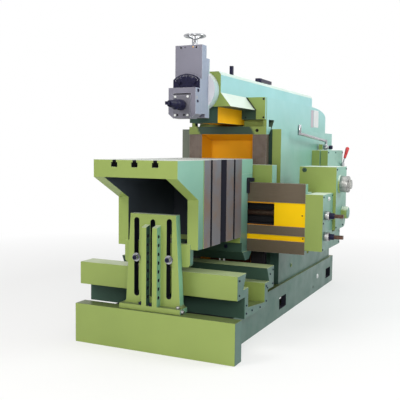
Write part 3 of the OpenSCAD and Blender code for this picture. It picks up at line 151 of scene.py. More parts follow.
def capped(colour, by):
    return tuple(min(1, c * by) for c in colour)


# Where the paint and its painted light change: spans of a normal's part, and of height in metres
EDGE_WEAR = 0.003
FLANK_TURN = (0.25, 0.85)
TOP_TURN = (0.3, 0.62)
LOW_FLANK, HIGH_FLANK = (0.40, 1.0), (1.05, 1.50)
LOW_TOP, HIGH_TOP = (0.24, 0.30), (0.60, 0.80)
PAINT_FOOT, WAY_FOOT = (0.42, 0.78), (0.46, 0.74)
MIDDLE = (0.3, 0.7)
# A painted shadow of the ram on the column strip: its lean about a height, blur, waver and colour
PAINTED_SHADOW_Z, PAINTED_SHADOW_LEAN, PAINTED_SHADOW_BLUR, PAINTED_SHADOW_WAVE = 1.24, 0.4, 0.02, 0.012
PAINTED_SHADOW = (0.045, 0.085, 0.060)
CLOUD = (0.69, 0.74, 0.69)
WORN_PAINT, WORN_STEEL, WORN_CAST = (0.42, 0.50, 0.36), (0.72, 0.71, 0.68), (0.80, 0.80, 0.83)
# Painted shade for the ways low down
LOW_WAY_SHADE = (0.018, 0.015, 0.020)
FINE, LONG = 900, 9


def paint(name, front, flanks, tops, gloss=0.34, coat=0.06, foot=None, painted_shadow=None):
    """Machine enamel with painted light: warm on the fronts, cool on the flanks, pale on top,
    each by height.

    foot darkens the front low down as painted shade, and the last argument is a span of X
    darkened as a painted shadow.
    """
    m, nt, b = new_mat(name, front, gloss)
    # Painted light by facing: fronts, flanks and tops are lit and shaded copies of one paint
    facing = split(nt, "Normal")
    flank = ramp(nt, val(nt, "ABSOLUTE", facing[0]), FLANK_TURN)
    up = ramp(nt, facing[2], TOP_TURN)
    at = split(nt)
    z = at[2]
    # Painted light by height: flanks and tops darker low down as painted shade, paler high up as
    # painted highlight
    side = mix_col(nt, ramp(nt, z, LOW_FLANK), flanks[0], flanks[1])
    side = mix_col(nt, ramp(nt, z, HIGH_FLANK), side, flanks[2])
    roof = mix_col(nt, ramp(nt, z, LOW_TOP), tops[0], tops[1])
    roof = mix_col(nt, ramp(nt, z, HIGH_TOP), roof, tops[2])
    face = front
    # Painted shade on the front low down
    if foot:
        face = mix_col(nt, ramp(nt, z, PAINT_FOOT), foot, front)
    # A painted shadow: a leaning, wavering band of X darkened
    if painted_shadow:
        lean = val(nt, "MULTIPLY", val(nt, "SUBTRACT", z, PAINTED_SHADOW_Z), PAINTED_SHADOW_LEAN)
        x = val(nt, "ADD", at[0], lean)
        x = val(nt, "ADD", x, ramp(nt, noise(nt, 14), MIDDLE, -PAINTED_SHADOW_WAVE, PAINTED_SHADOW_WAVE))
        starts = ramp(nt, x, (painted_shadow[0], painted_shadow[0] + PAINTED_SHADOW_BLUR))
        ends = ramp(nt, x, (painted_shadow[1], painted_shadow[1] + PAINTED_SHADOW_BLUR), 1.0, 0.0)
        face = mix_col(nt, val(nt, "MULTIPLY", starts, ends), front, PAINTED_SHADOW)
    col = mix_col(nt, up, mix_col(nt, flank, face, side), roof)
    cloud = ramp(nt, noise(nt, 2.6, 4.0, 0.55), (0.32, 0.68), 0.30, 0.0)
    col = mix_col(nt, cloud, col, CLOUD, "MULTIPLY")
    chips = ramp(nt, noise(nt, 38, 5.0, 0.65), (0.50, 0.66), 0.0, 0.5)
    worn = val(nt, "MULTIPLY", edge_mask(nt), chips)
    nt.links.new(mix_col(nt, worn, col, WORN_PAINT), b.inputs["Base Color"])
    sheen = ramp(nt, noise(nt, 9, 4.0), MIDDLE, gloss - 0.06, gloss + 0.10)
    nt.links.new(sheen, b.inputs["Roughness"])
    b.inputs["Coat Weight"].default_value = coat
    b.inputs["Coat Roughness"].default_value = 0.12
    b.inputs["Specular IOR Level"].default_value = 0.15 + 2.0 * coat
    bump(nt, b, noise(nt, 190, 2.0, 0.4), strength=0.10, dist=0.0006)
    return m


def matt(name, front, flank, top, gloss=0.45, coat=0.0, foot=None):
    """Enamel that has the same colours at every height; its front, flank and top colours are
    painted light where they differ.
    """
    return paint(name, front, [flank] * 3, [top] * 3, gloss, coat, foot)


def machined(name, base, tint, along, rough, metal, stain=0.35, spots=7, foot=False):
    """Ground or scraped steel: fine lines along one axis and oil stains.

    foot darkens it low down with painted shade.
    """
    m, nt, b = new_mat(name, base, rough, metal)
    scales = [FINE, FINE, FINE]
    scales["XYZ".index(along)] = LONG
    lines = noise(nt, 1.0, 2.0, 0.5, stretch(nt, scales))
    blotch = ramp(nt, noise(nt, spots, 5.0, 0.6), (0.42, 0.70), 0.0, stain)
    col = mix_col(nt, ramp(nt, lines, MIDDLE), scaled(base, 0.86), capped(base, 1.10))
    col = mix_col(nt, blotch, col, tint)
    col = mix_col(nt, val(nt, "MULTIPLY", edge_mask(nt), 0.45), col, WORN_STEEL)
    # Painted shade low down
    if foot:
        col = mix_col(nt, ramp(nt, split(nt)[2], WAY_FOOT), LOW_WAY_SHADE, col)
    nt.links.new(col, b.inputs["Base Color"])
    sheen = ramp(nt, lines, (0.25, 0.75), rough - 0.07, rough + 0.12)
    nt.links.new(sheen, b.inputs["Roughness"])
    bump(nt, b, lines, strength=0.16, dist=0.0004)
    return m


def cast(name, base, flank, rough, metal):
    """Milled grey metal with a faint grain, and painted light: a cooler lit copy of its colour on
    the flanks.
    """
    m, nt, b = new_mat(name, base, rough, metal)
    grain = noise(nt, 240, 3.0, 0.6)
    cloud = ramp(nt, noise(nt, 6, 4.0), MIDDLE)
    # Painted light: the flanks take a cooler copy of the colour
    side = ramp(nt, val(nt, "ABSOLUTE", split(nt, "Normal")[0]), (0.4, 0.9))
    dim = mix_col(nt, side, scaled(base, 0.90), scaled(flank, 0.90))
    lit = mix_col(nt, side, scaled(base, 1.08), scaled(flank, 1.08))
    worn = val(nt, "MULTIPLY", edge_mask(nt), 0.5)
    col = mix_col(nt, worn, mix_col(nt, cloud, dim, lit), WORN_CAST)
    nt.links.new(col, b.inputs["Base Color"])
    sheen = ramp(nt, grain, MIDDLE, rough - 0.08, rough + 0.1)
    nt.links.new(sheen, b.inputs["Roughness"])
    bump(nt, b, grain, strength=0.10, dist=0.0004)
    return m


def plain(name, base, rough, metal, spot, scale, spec=0.5):
    """Small hard parts: a little colour and gloss change over the surface."""
    m, nt, b = new_mat(name, base, rough, metal)
    b.inputs["Specular IOR Level"].default_value = spec
    n = noise(nt, scale, 3.0, 0.55)
    col = mix_col(nt, ramp(nt, n, (0.35, 0.65)), scaled(base, 1 - spot), capped(base, 1 + spot))
    nt.links.new(col, b.inputs["Base Color"])
    sheen = ramp(nt, n, MIDDLE, max(0.03, rough - 0.06), rough + 0.08)
    nt.links.new(sheen, b.inputs["Roughness"])
    bump(nt, b, noise(nt, scale * 6, 2.0), strength=0.05, dist=0.0003)
    return m


# Paints, with painted light: fronts, flanks and tops are lit and shaded copies of one green
FRONT = (0.285, 0.370, 0.100)
# Flank and top colours low, middle and high: painted shade low down, painted highlight high up
FLANK = ((0.052, 0.128, 0.102), (0.235, 0.470, 0.375), (0.350, 0.670, 0.690))
TOPS = ((0.110, 0.143, 0.050), (0.400, 0.480, 0.250), (0.78, 0.88, 0.79))
# The support's flank colour, painted light the same at every height
SUPPORT_FLANK = (0.210, 0.440, 0.290)
BRIGHT_YELLOW = (1.0, 0.62, 0.002)
DEEP_YELLOW = (0.88, 0.38, 0.010)
KEEL_YELLOW = (1.0, 0.50, 0.008)
GREEN = paint("green_enamel", FRONT, FLANK, TOPS)
# Painted shade low down on the cheek fronts
CHEEK = paint("cheek_enamel", FRONT, FLANK, TOPS, foot=(0.035, 0.075, 0.062))
SUPPORT = paint("support_enamel", FRONT, [SUPPORT_FLANK] * 3, TOPS)
# A painted shadow of the ram across the column strip
STRIP = paint("strip_enamel", FRONT, FLANK, TOPS, painted_shadow=(-0.230, 0.165))
YELLOW = matt("yellow_enamel", BRIGHT_YELLOW, BRIGHT_YELLOW, BRIGHT_YELLOW)
# Painted shade low down on the yellow pocket
AMBER = matt("amber_enamel", DEEP_YELLOW, DEEP_YELLOW, DEEP_YELLOW, foot=(0.10, 0.022, 0.008))
KEEL = matt("keel_enamel", KEEL_YELLOW, KEEL_YELLOW, KEEL_YELLOW)
# Pale paint of the swivel disc; its flank and top colours are painted light
PALE = matt("pale_enamel", (0.80, 0.79, 0.84), (0.46, 0.60, 0.62), (0.66, 0.70, 0.68),
            gloss=0.42, coat=0.05)
SHADE = matt("shaded_enamel", (0.044, 0.088, 0.066), (0.040, 0.090, 0.068), (0.10, 0.15, 0.10),
             gloss=0.5)
# A shaded grey for the left cheek front, painted shade, darker still low down
LEFT_CHEEK_SHADE = matt("left_cheek_shade", (0.185, 0.205, 0.170), (0.150, 0.190, 0.165), (0.30, 0.35, 0.28),
            gloss=0.5, foot=(0.035, 0.060, 0.050))
# Near black, painted shade in recesses, slots, grooves and hollows
RECESS_SHADE = matt("recess_shade", (0.014, 0.015, 0.024), (0.006, 0.006, 0.014), (0.02, 0.02, 0.03),
            gloss=0.6)
# Painted shade inside the table's hollow
HOLLOW_SHADE = matt("table_hollow_shade", (0.060, 0.068, 0.090), (0.055, 0.068, 0.085), (0.06, 0.06, 0.08),
              gloss=0.6)

# Metals and small parts
WAY_Z = machined("scraped_way", (0.170, 0.132, 0.112), (0.080, 0.055, 0.035), "Z",
                 rough=0.42, metal=0.3, stain=0.6, spots=16, foot=True)
WAY_X = machined("ground_way", (0.135, 0.104, 0.070), (0.085, 0.060, 0.034), "X",
                 rough=0.40, metal=0.35)
PAD_Z = machined("table_pad", (0.150, 0.154, 0.182), (0.185, 0.105, 0.070), "Z",
                 rough=0.42, metal=0.25, stain=0.75)
TOP_Y = machined("table_top", (0.62, 0.65, 0.62), (0.46, 0.52, 0.46), "Y",
                 rough=0.60, metal=0.12, stain=0.25)
IRON = machined("drive_iron", (0.20, 0.20, 0.21), (0.10, 0.08, 0.06), "X",
                rough=0.42, metal=0.7, stain=0.3)
# Flank colours of the head are painted light from the side
HEAD = cast("head_metal", (0.190, 0.188, 0.240), (0.300, 0.350, 0.450), rough=0.50, metal=0.25)
FACE = cast("plate_metal", (0.150, 0.148, 0.180), (0.260, 0.290, 0.360), rough=0.45, metal=0.35)
CHROME = plain("chrome", (0.36, 0.365, 0.385), rough=0.20, metal=1.0, spot=0.30, scale=45)
SATIN = plain("satin_steel", (0.36, 0.365, 0.35), rough=0.36, metal=0.6, spot=0.15, scale=60)
STEEL = plain("bright_steel", (0.40, 0.40, 0.40), rough=0.32, metal=0.9, spot=0.15, scale=80)
BROWN = plain("oiled_steel", (0.100, 0.055, 0.040), rough=0.36, metal=0.7, spot=0.3, scale=70)
BLACK = plain("black_oxide", (0.006, 0.006, 0.030), rough=0.34, metal=0.0, spot=0.35, scale=90,
              spec=0.2)
# Near black for dark screws and felt, and painted shade in holes
DARK_AND_HOLE_SHADE = plain("dark_screw_and_hole_shade", (0.010, 0.010, 0.012), rough=0.55, metal=0.0, spot=0.3, scale=120,
             spec=0.2)
RED = plain("red_grip", (0.60, 0.022, 0.028), rough=0.28, metal=0.0, spot=0.12, scale=40)
RUBBER = plain("belt_rubber", (0.020, 0.020, 0.022), rough=0.7, metal=0.0, spot=0.3, scale=150)
PLATE = plain("bare_plate", (0.70, 0.72, 0.72), rough=0.34, metal=0.2, spot=0.05, scale=20)
ROSE = plain("rose_plate", (0.48, 0.40, 0.46), rough=0.36, metal=0.1, spot=0.06, scale=20)
INK = plain("scale_mark", (0.34, 0.34, 0.38), rough=0.5, metal=0.0, spot=0.05, scale=50)
BRASS = plain("brass", (0.62, 0.36, 0.14), rough=0.30, metal=0.9, spot=0.15, scale=60)

# Main material of each node, bright steel where none is named
NAMED = (
    (GREEN, "base chip_trough column guide_plates rear_cover lever_box belt_guard motor"),
    (GREEN, "rocker_bracket ram feed_box feed_gearbox gearbox_cap table saddle lower_keep"),
    (GREEN, "cross_rail"),
    (SUPPORT, "support_bracket"),
    (YELLOW, "rail_covers"),
    (HEAD, "head_base tool_slide scale_plate clapper_box"),
    (FACE, "clapper_plate"),
    (PLATE, "plate_screws"),
    (SATIN, "feed_dial"),
    (CHROME, "handwheel clutch_lever speed_lever lug_bolts"),
    (BLACK, "adjust_shaft clamp_handle tool_post tool_post_screw"),
    (IRON, "bull_gear crank_block pinion_shaft driven_pulley motor_pulley rocker_arm"),
    (IRON, "gear_bearing ram_nut_block"),
    (WAY_X, "rail_keeps upper_keep"),
    (RED, "lever_grip"),
    (RUBBER, "belts"),
)
LOOK = {n: STEEL for n in nodes}
for material, names in NAMED:
    for n in names.split():
        LOOK[n] = material


def dress(name, rules=()):
    """Main material of a node, then others on the faces that a rule picks."""
    o = nodes[name]
    o.data.materials.clear()
    o.data.materials.append(LOOK[name])
    for m, _ in rules:
        o.data.materials.append(m)
    for p in o.data.polygons:
        p.material_index = 0
        for i, (_, test) in enumerate(rules):
            if test(p.center, p.normal):
                p.material_index = i + 1


# Which way a face looks
SQUARE = 0.9


def to_front(n):
    return n.y < -SQUARE


def to_back(n):
    return n.y > SQUARE


def to_side(n):
    return abs(n.x) > SQUARE


def to_top(n):
    return n.z > SQUARE


def to_floor(n):
    return n.z < -SQUARE


def near(c, x, z, r):
    """Whether a face lies in a hole along Y, on either side of the middle plane."""
    return math.hypot(abs(c.x) - x, c.z - z) < r


# Middle planes, centres and end faces that the rules and details share
TABLE_X = 0.024
SWIVEL_Z = 1.456
STRIP_HOLE = (0.214, 1.230)
GUIDE_X, GUIDE_ZS = 0.255, (1.314, 1.433)
SLIDE_HOLE = (0.050, 1.693)
DRAIN_Y, DRAIN_Z = 1.022, 0.055
RIB_Y = 0.795
SLEEVE_X = (0.7415, 0.765)

# Rules that dress single faces, as a material and a test of centre and normal
RULES = {
    "column": [
        # Painted shade on the left cheek front and the right cheek's foot, and a painted ram
        # shadow on the strip
        (LEFT_CHEEK_SHADE, lambda c, n: to_front(n) and c.x < -0.28 and c.y < 0.33 and 0.3 < c.z < 1.25),
        (CHEEK, lambda c, n: to_front(n) and c.x > 0.28 and c.y < 0.33 and 0.3 < c.z < 1.25),
        (STRIP, lambda c, n: to_front(n) and c.y < 0.19 and 1.2 < c.z < 1.31),
        (WAY_Z, lambda c, n: to_front(n) and c.y < 0.18 and c.z < 1.2 and abs(c.x) > 0.18),
        (WAY_Z, lambda c, n: to_side(n) and c.y < 0.226 and 0.25 < abs(c.x) < 0.29
         and c.z < 1.2),
        # Yellow pocket, with painted shade low down
        (AMBER, lambda c, n: abs(c.x) < 0.1841 and 0.17 < c.y < 0.27 and c.z < 1.2055
         and n.z < SQUARE),
        (SHADE, lambda c, n: 0.2259 < c.y < 0.266 and 0.2 < abs(c.x) < 0.30 and c.z < 1.25
         and n.y < 0.5),
        (SHADE, lambda c, n: abs(c.x) < 0.2 and c.z > 1.25 and n.y > -0.5
         and (c.z < 1.31 or n.z < 0.3)),
        (SHADE, lambda c, n: to_front(n) and 0.199 < c.y < 0.201 and abs(c.x) < 0.204
         and 1.3 < c.z < 1.37),
        (SHADE, lambda c, n: 0.2005 < c.y < 0.2458 and 0.245 < abs(c.x) < 0.2695
         and 1.254 < c.z < 1.303),
        (SHADE, lambda c, n: 0.2425 < c.y < 0.3525 and 0.229 < abs(c.x) < 0.2695
         and 1.239 < c.z < 1.303),
        # Painted shade inside the column and in the strip hole
        (RECESS_SHADE, lambda c, n: 0.29 < c.y < 1.54 and abs(c.x) < 0.331 and c.z < 1.238),
        (DARK_AND_HOLE_SHADE, lambda c, n: near(c, *STRIP_HOLE, 0.0112)
         and (abs(n.y) < SQUARE or c.y > 0.181)),
    ],
    "ram": [
        (SHADE, lambda c, n: c.z < 1.363 and to_floor(n)),
        (SHADE, lambda c, n: c.z < 1.362 and to_front(n) and abs(c.x) < 0.0955),
        (KEEL, lambda c, n: c.z < 1.362 and to_side(n) and abs(c.x) < 0.0955),
    ],
    "cross_rail": [
        (WAY_X, lambda c, n: to_front(n) and c.y < 0.005),
        (WAY_X, lambda c, n: to_top(n) and c.y < 0.051 and c.z > 0.88),
        (YELLOW, lambda c, n: c.y < 0.0125 and 0.54 < c.z < 0.58),
        (AMBER, lambda c, n: 0.001 < c.y < 0.0125 and 0.63 < c.z < 0.785),
        # Painted shade inside the recess of the rail
        (DARK_AND_HOLE_SHADE, lambda c, n: 0.0115 < c.y < 0.085 and 0.64 < c.z < 0.775 and abs(c.x) < 0.5755),
        (WAY_Z, lambda c, n: to_back(n) and c.y > 0.17),
        (SHADE, lambda c, n: to_floor(n)),
    ],
    "table": [
        (TOP_Y, lambda c, n: to_top(n) and c.z > 1.04),
        # Painted shade in the side groove and slots, in the T-slots, and in the hollow and under
        # the top
        (RECESS_SHADE, lambda c, n: c.x > 0.18 and 0.1 < abs(n.x) < SQUARE and abs(n.z) < 0.1),
        (DARK_AND_HOLE_SHADE, lambda c, n: 1.0 < c.z < 1.045 and c.y < 0.07 and -0.2 < c.x < 0.15
         and (to_side(n) or abs(n.z) > SQUARE)),
        (PAD_Z, lambda c, n: n.x > SQUARE and c.x > 0.2285),
        (RECESS_SHADE, lambda c, n: 0.18 < c.x < 0.2285 and -0.60 < c.y < -0.2
         and (abs(n.y) > SQUARE or n.x > SQUARE) and abs(c.x - 0.226) > 0.002),
        (HOLLOW_SHADE, lambda c, n: to_front(n) and -0.19 < c.y < -0.16),
        (RECESS_SHADE, lambda c, n: to_floor(n) and c.z > 0.94 and -0.73 < c.y
         and abs(c.x + TABLE_X) < 0.186),
        (HOLLOW_SHADE, lambda c, n: to_side(n) and abs(abs(c.x + TABLE_X) - 0.185) < 0.002),
    ],
    "head_base": [
        (PALE, lambda c, n: math.hypot(c.x, c.z - SWIVEL_Z) > 0.08 and -0.302 < c.y < -0.23
         and not (abs(c.x) < 0.0801 and c.y < -0.29 and abs(n.y) < SQUARE)),
    ],
    "saddle": [
        (WAY_X, lambda c, n: to_back(n)),
        (SHADE, lambda c, n: to_floor(n)),
        (SHADE, lambda c, n: n.y < -0.5 and c.z < 0.53),
    ],
    "chip_trough": [
        (SHADE, lambda c, n: n.z < -0.5 and c.z > 0.2),
        (SHADE, lambda c, n: to_front(n) and -0.63 < c.y < -0.5 and c.z < 0.34),
        (SHADE, lambda c, n: n.y < -0.5 and n.z < -0.3),
    ],
    "support_bracket": [
        # Painted shade in the slots and rib holes, and on the left rib's flank between the ribs
        (RECESS_SHADE, lambda c, n: -0.7745 < c.y < -0.733 and 0.28 < c.z < 0.735
         and abs(c.x + TABLE_X) < 0.125 and abs(n.y) < SQUARE),
        (RECESS_SHADE, lambda c, n: abs(c.y + RIB_Y) < 0.0105 and abs(n.x) < 0.5 and 0.27 < c.z < 0.65
         and 0.017 < abs(c.x + TABLE_X) < 0.049),
        (SHADE, lambda c, n: n.x > SQUARE and c.y < -0.776 and -0.047 < c.x < -0.037),
    ],
    "foot_bolts": [(BLACK, lambda c, n: c.x < 0.1)],
    "lower_keep": [(SHADE, lambda c, n: n.z < -0.5)],
    "base": [
        # Painted shade in the drain hole and inside the base
        (DARK_AND_HOLE_SHADE, lambda c, n: math.hypot(c.y - DRAIN_Y, c.z - DRAIN_Z) < 0.0095
         and abs(n.x) < 0.5),
        (RECESS_SHADE, lambda c, n: abs(c.x) < 0.37 and -0.74 < c.y < 1.615 and c.z < 0.2
         and n.z > -SQUARE and abs(n.x) < 0.5),
    ],
    "traverse_screw": [
        (BROWN, lambda c, n: c.x < 0.60),
        (BLACK, lambda c, n: SLEEVE_X[0] < c.x < SLEEVE_X[1]),
        (BROWN, lambda c, n: c.x > SLEEVE_X[1]),
    ],
    "lift_shaft": [
        (BLACK, lambda c, n: SLEEVE_X[0] < c.x < SLEEVE_X[1]),
        (BROWN, lambda c, n: c.x > SLEEVE_X[1]),
    ],
    "scale_plate": [(BLACK, lambda c, n: to_front(n))],
    # Painted shade in the screw holes
    "guide_plates": [(DARK_AND_HOLE_SHADE, lambda c, n: any(near(c, GUIDE_X, z, 0.0085) for z in GUIDE_ZS))],
    "tool_slide": [(DARK_AND_HOLE_SHADE, lambda c, n: near(c, *SLIDE_HOLE, 0.0078) and c.y > -0.4048)],
}
for n in nodes:
    dress(n, RULES.get(n, ()))


# Rounded edges
def add_bevel(o, width, angle):
    b = o.modifiers.new("edge", "BEVEL")
    b.width = width
    b.segments = 2
    b.limit_method = "ANGLE"
    b.angle_limit = math.radians(angle)
    b.harden_normals = True


WELD = 0.00002
CAST_EDGE, CUT_EDGE = 0.003, 0.0012
NODE_ANGLE, PIECE_ANGLE = 40, 35
SHARP = ("belts", "bull_gear", "pinion_shaft")
for n in nodes:
    if n in SHARP:
        continue
    weld = nodes[n].modifiers.new("weld", "WELD")
    weld.merge_threshold = WELD
    is_cast = LOOK[n] in (GREEN, SUPPORT, HEAD)
    add_bevel(nodes[n], CAST_EDGE if is_cast else CUT_EDGE, NODE_ANGLE)


# Mesh helpers
def turned(bm, origin, axis, profile, seg=28, hexes=()):
    """A turned solid: profile is (radius, height) along axis.

    Rings whose index is in hexes are hexagons.
    """
    z = Vector(axis).normalized()
    x = z.orthogonal().normalized()
    y = z.cross(x)
    rings = []
    for i, (r, h) in enumerate(profile):
        ring = []
        for k in range(seg):
            a = 2 * math.pi * k / seg
            rr = r
            if i in hexes:
                rr = r / math.cos((a + math.pi / 6) % (math.pi / 3) - math.pi / 6)
            out = (x * math.cos(a) + y * math.sin(a)) * max(rr, 1e-5)
            ring.append(bm.verts.new(Vector(origin) + z * h + out))
        rings.append(ring)
    for a, b in zip(rings, rings[1:]):
        for k in range(seg):
            bm.faces.new((a[k], a[(k + 1) % seg], b[(k + 1) % seg], b[k]))
    bm.faces.new(list(reversed(rings[0])))
    bm.faces.new(rings[-1])


def shares(r, h, pairs):
    """A profile written in shares of a radius and a height."""
    return [(r * a, h * b) for a, b in pairs]


def socket_head(bm, p, axis, r, h):
    """A socket-head screw: chamfered head with a hexagon recess."""
    c = r * 0.16
    hole = r * 0.52
    profile = [(r, 0), (r, h - c), (r - c, h), (r * 0.56, h), (hole, h - c), (hole, h * 0.35)]
    turned(bm, p, axis, profile, 24, (3, 4, 5))


def hex_head(bm, p, axis, r, h):
    """A hexagon bolt head on its washer."""
    outline = ((1.45, 0), (1.45, 0.22), (1.3, 0.26), (1, 0.27), (1, 0.9), (0.86, 1))
    turned(bm, p, axis, shares(r, h, outline), 24, (3, 4))


def dome(bm, p, axis, r, h):
    """A low rivet or button head."""
    outline = ((1, 0), (0.97, 0.35), (0.8, 0.75), (0.45, 1))
    turned(bm, p, axis, shares(r, h, outline), 16)


def plug(bm, p, axis, r, h):
    """A screwed plug with a flange and a hexagon socket."""
    outline = ((1, 0), (1, 0.4), (0.92, 0.55), (0.75, 0.6), (0.7, 1), (0.42, 1), (0.38, 0.3))
    turned(bm, p, axis, shares(r, h, outline), 24, (5, 6))


def brick(bm, lo, hi):
    """A box between two corners."""
    v = [bm.verts.new((x, y, z)) for x in (lo[0], hi[0]) for y in (lo[1], hi[1])
         for z in (lo[2], hi[2])]
    for f in ((0, 1, 3, 2), (4, 6, 7, 5), (0, 4, 5, 1), (2, 3, 7, 6), (0, 2, 6, 4), (1, 5, 7, 3)):
        bm.faces.new([v[i] for i in f])


def prism(bm, outline, along, t):
    """A flat outline thickened along a direction."""
    along = Vector(along) * t
    a = [bm.verts.new(p) for p in outline]
    b = [bm.verts.new(Vector(p) + along) for p in outline]
    bm.faces.new(a)
    bm.faces.new(list(reversed(b)))
    for i in range(len(a)):
        j = (i + 1) % len(a)
        bm.faces.new((a[i], b[i], b[j], a[j]))


def piece(name, body, material, build, bevel=0.0):
    """A detail that rides a body."""
    bm = bmesh.new()
    build(bm)
    bmesh.ops.recalc_face_normals(bm, faces=bm.faces)
    me = bpy.data.meshes.new(name)
    bm.to_mesh(me)
    bm.free()
    me.materials.append(material)
    o = bpy.data.objects.new(name, me)
    scene.collection.objects.link(o)
    if bevel:
        add_bevel(o, bevel, PIECE_ANGLE)
    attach(o, body)


def several(name, body, material, make, places):
    """One piece that repeats the same small form at several places."""
    piece(name, body, material, lambda bm: [make(bm, *p) for p in places])


# Camera, as solved from the photograph
SENSOR = 36
PHOTO_WIDTH, FOCAL = 400, 659.0
YAW, PITCH, ROLL = math.radians(25.34), math.radians(-4.48), math.radians(0.61)
CAMERA_AT = (1.7310, -3.8855, 1.1094)
cam = bpy.data.objects.new("cam", bpy.data.cameras.new("cam"))
scene.collection.objects.link(cam)
cam.data.sensor_width = SENSOR
cam.data.sensor_fit = "HORIZONTAL"
cam.data.lens = SENSOR * FOCAL / PHOTO_WIDTH
cam.data.clip_end = 60
level = math.cos(PITCH)
fwd = Vector((-math.sin(YAW) * level, math.cos(YAW) * level, math.sin(PITCH)))
right = Vector((math.cos(YAW), math.sin(YAW), 0))
above = right.cross(fwd)
cam_x = right * math.cos(ROLL) + above * math.sin(ROLL)
cam_y = -right * math.sin(ROLL) + above * math.cos(ROLL)
turn = Matrix((cam_x, cam_y, -fwd)).transposed()
cam.matrix_world = Matrix.Translation(CAMERA_AT) @ turn.to_4x4()
scene.camera = cam


# Light
def lamp(name, at, look, size, power, colour=(1, 1, 1)):
    d = bpy.data.lights.new(name, "AREA")
    d.shape = "RECTANGLE"
    d.size, d.size_y = size
    d.energy = power
    d.color = colour
    o = bpy.data.objects.new(name, d)
    scene.collection.objects.link(o)
    o.location = at
    o.rotation_euler = (Vector(look) - Vector(at)).to_track_quat("-Z", "Y").to_euler()
    o.visible_camera = False


lamp("key", at=(-2.3, -4.4, 4.6), look=(0.0, -0.2, 0.7), size=(2.2, 2.0), power=125,
     colour=(1.0, 0.97, 0.92))
lamp("front", at=(2.2, -4.6, 2.3), look=(0.2, 0.0, 0.9), size=(1.8, 1.6), power=92,
     colour=(1.0, 0.98, 0.94))
lamp("side", at=(4.2, 1.3, 4.0), look=(0.2, 0.9, 1.1), size=(2.6, 2.4), power=122,
     colour=(0.95, 1.0, 1.0))
lamp("roof", at=(0.0, 0.6, 5.2), look=(0.0, 0.6, 0.0), size=(4.0, 4.0), power=54)

# World: a soft sky for the light, white where it is seen
SKY_SPAN, SKY_LOW, SKY_HIGH = (-0.1, 0.9), 0.20, 0.42
world = bpy.data.worlds.new("studio")
scene.world = world
world.use_nodes = True
nt = world.node_tree
bg = nt.nodes["Background"]
sky = ramp(nt, split(nt, "Generated")[2], SKY_SPAN, SKY_LOW, SKY_HIGH)
nt.links.new(val(nt, "MAXIMUM", sky, seen_ray(nt)), bg.inputs["Strength"])
bg.inputs["Color"].default_value = (1, 1, 1, 1)

# Floor: pale, fading to white away from the machine
FLOOR_R, FLOOR_SIDES = 22, 96
FADE, FADE_NEAR, FADE_FAR = (2.0, 4.6), 0.55, 1.0
bm = bmesh.new()
bmesh.ops.create_circle(bm, cap_ends=True, radius=FLOOR_R, segments=FLOOR_SIDES)
me = bpy.data.meshes.new("floor")
bm.to_mesh(me)
bm.free()
floor = bpy.data.objects.new("floor", me)
scene.collection.objects.link(floor)
floor_mat, nt, floor_bsdf = new_mat("floor", (0.90, 0.90, 0.90), 0.7)
glow = node(nt, "ShaderNodeEmission")
dist = node(nt, "ShaderNodeVectorMath", operation="LENGTH")
nt.links.new(coords(nt), dist.inputs[0])
far = ramp(nt, dist.outputs["Value"], FADE, FADE_NEAR, FADE_FAR)
mixer = node(nt, "ShaderNodeMixShader")
nt.links.new(val(nt, "MULTIPLY", far, seen_ray(nt)), mixer.inputs[0])
nt.links.new(floor_bsdf.outputs[0], mixer.inputs[1])
nt.links.new(glow.outputs[0], mixer.inputs[2])
nt.links.new(mixer.outputs[0], nt.nodes["Material Output"].inputs["Surface"])
floor.data.materials.append(floor_mat)

# Sizes of the fasteners, as head radius and height
SMALL, LIGHT = (.0050, .0035), (.0055, .0035)
MEDIUM, HEAVY = (.0055, .004), (.006, .004)

# Fasteners of the frame
TROUGH_ENDS = ((.440, 1), (-.570, -1))
TROUGH_YZ = ((-.655, .405), (-.655, .325), (-.548, .250), (-.548, .205), (-.460, .205),
             (-.330, .195), (-.225, .210), (-.225, .300), (-.206, .286), (-.160, .360),
             (-.112, .295), (-.112, .380))
several("trough_screws", "frame", BLACK, socket_head,
        [((x, y, z), (s, 0, 0), *LIGHT) for x, s in TROUGH_ENDS for y, z in TROUGH_YZ])
several("base_plug", "frame", PLATE, plug, [((.379, 1.130, .120), X, .018, .008)])
several("column_plug", "frame", GREEN, plug, [((.360, .507, .303), X, .016, .006)])
LEVER_BOX_X = .482
several("lever_box_screws", "frame", BLACK, socket_head,
        [((LEVER_BOX_X, y, z), X, *HEAVY) for y in (.986, 1.205, 1.424) for z in (.718, 1.088)])
COVER_Y, COVER_X, COVER_BOLT = 1.572, .235, (.007, .008)
cover_xz = [(x, z) for x in (-COVER_X, 0, COVER_X) for z in (.285, 1.015)]
cover_xz += [(s * COVER_X, .65) for s in BOTH]
several("cover_bolts", "frame", STEEL, hex_head,
        [((x, COVER_Y, z), Y, *COVER_BOLT) for x, z in cover_xz])
SOCKET_Y = .1835
# Dark socket screws, also painted shade in their holes
several("guide_sockets", "frame", DARK_AND_HOLE_SHADE, socket_head,
        [((s * GUIDE_X, SOCKET_Y, z), -Y, .0062, .003) for s in BOTH for z in GUIDE_ZS])
several("strip_socket", "frame", DARK_AND_HOLE_SHADE, socket_head,
        [((STRIP_HOLE[0], SOCKET_Y, STRIP_HOLE[1]), -Y, .0098, .005)])
several("front_screws", "frame", BLACK, socket_head,
        [((s * .124, .200, 1.315), -Y, .005, .003) for s in BOTH])
# Dark felt wipers along the dovetail edges, also painted shade there
WIPER_Y, WIPER_T = .1750, .0038
WIPER_XZ = ((.1330, 1.4445), (.1415, 1.4445), (.2075, 1.3590), (.1990, 1.3620))
several("felt_wipers", "frame", DARK_AND_HOLE_SHADE, prism,
        [([(s * x, WIPER_Y, z) for x, z in WIPER_XZ], Y, WIPER_T) for s in BOTH])

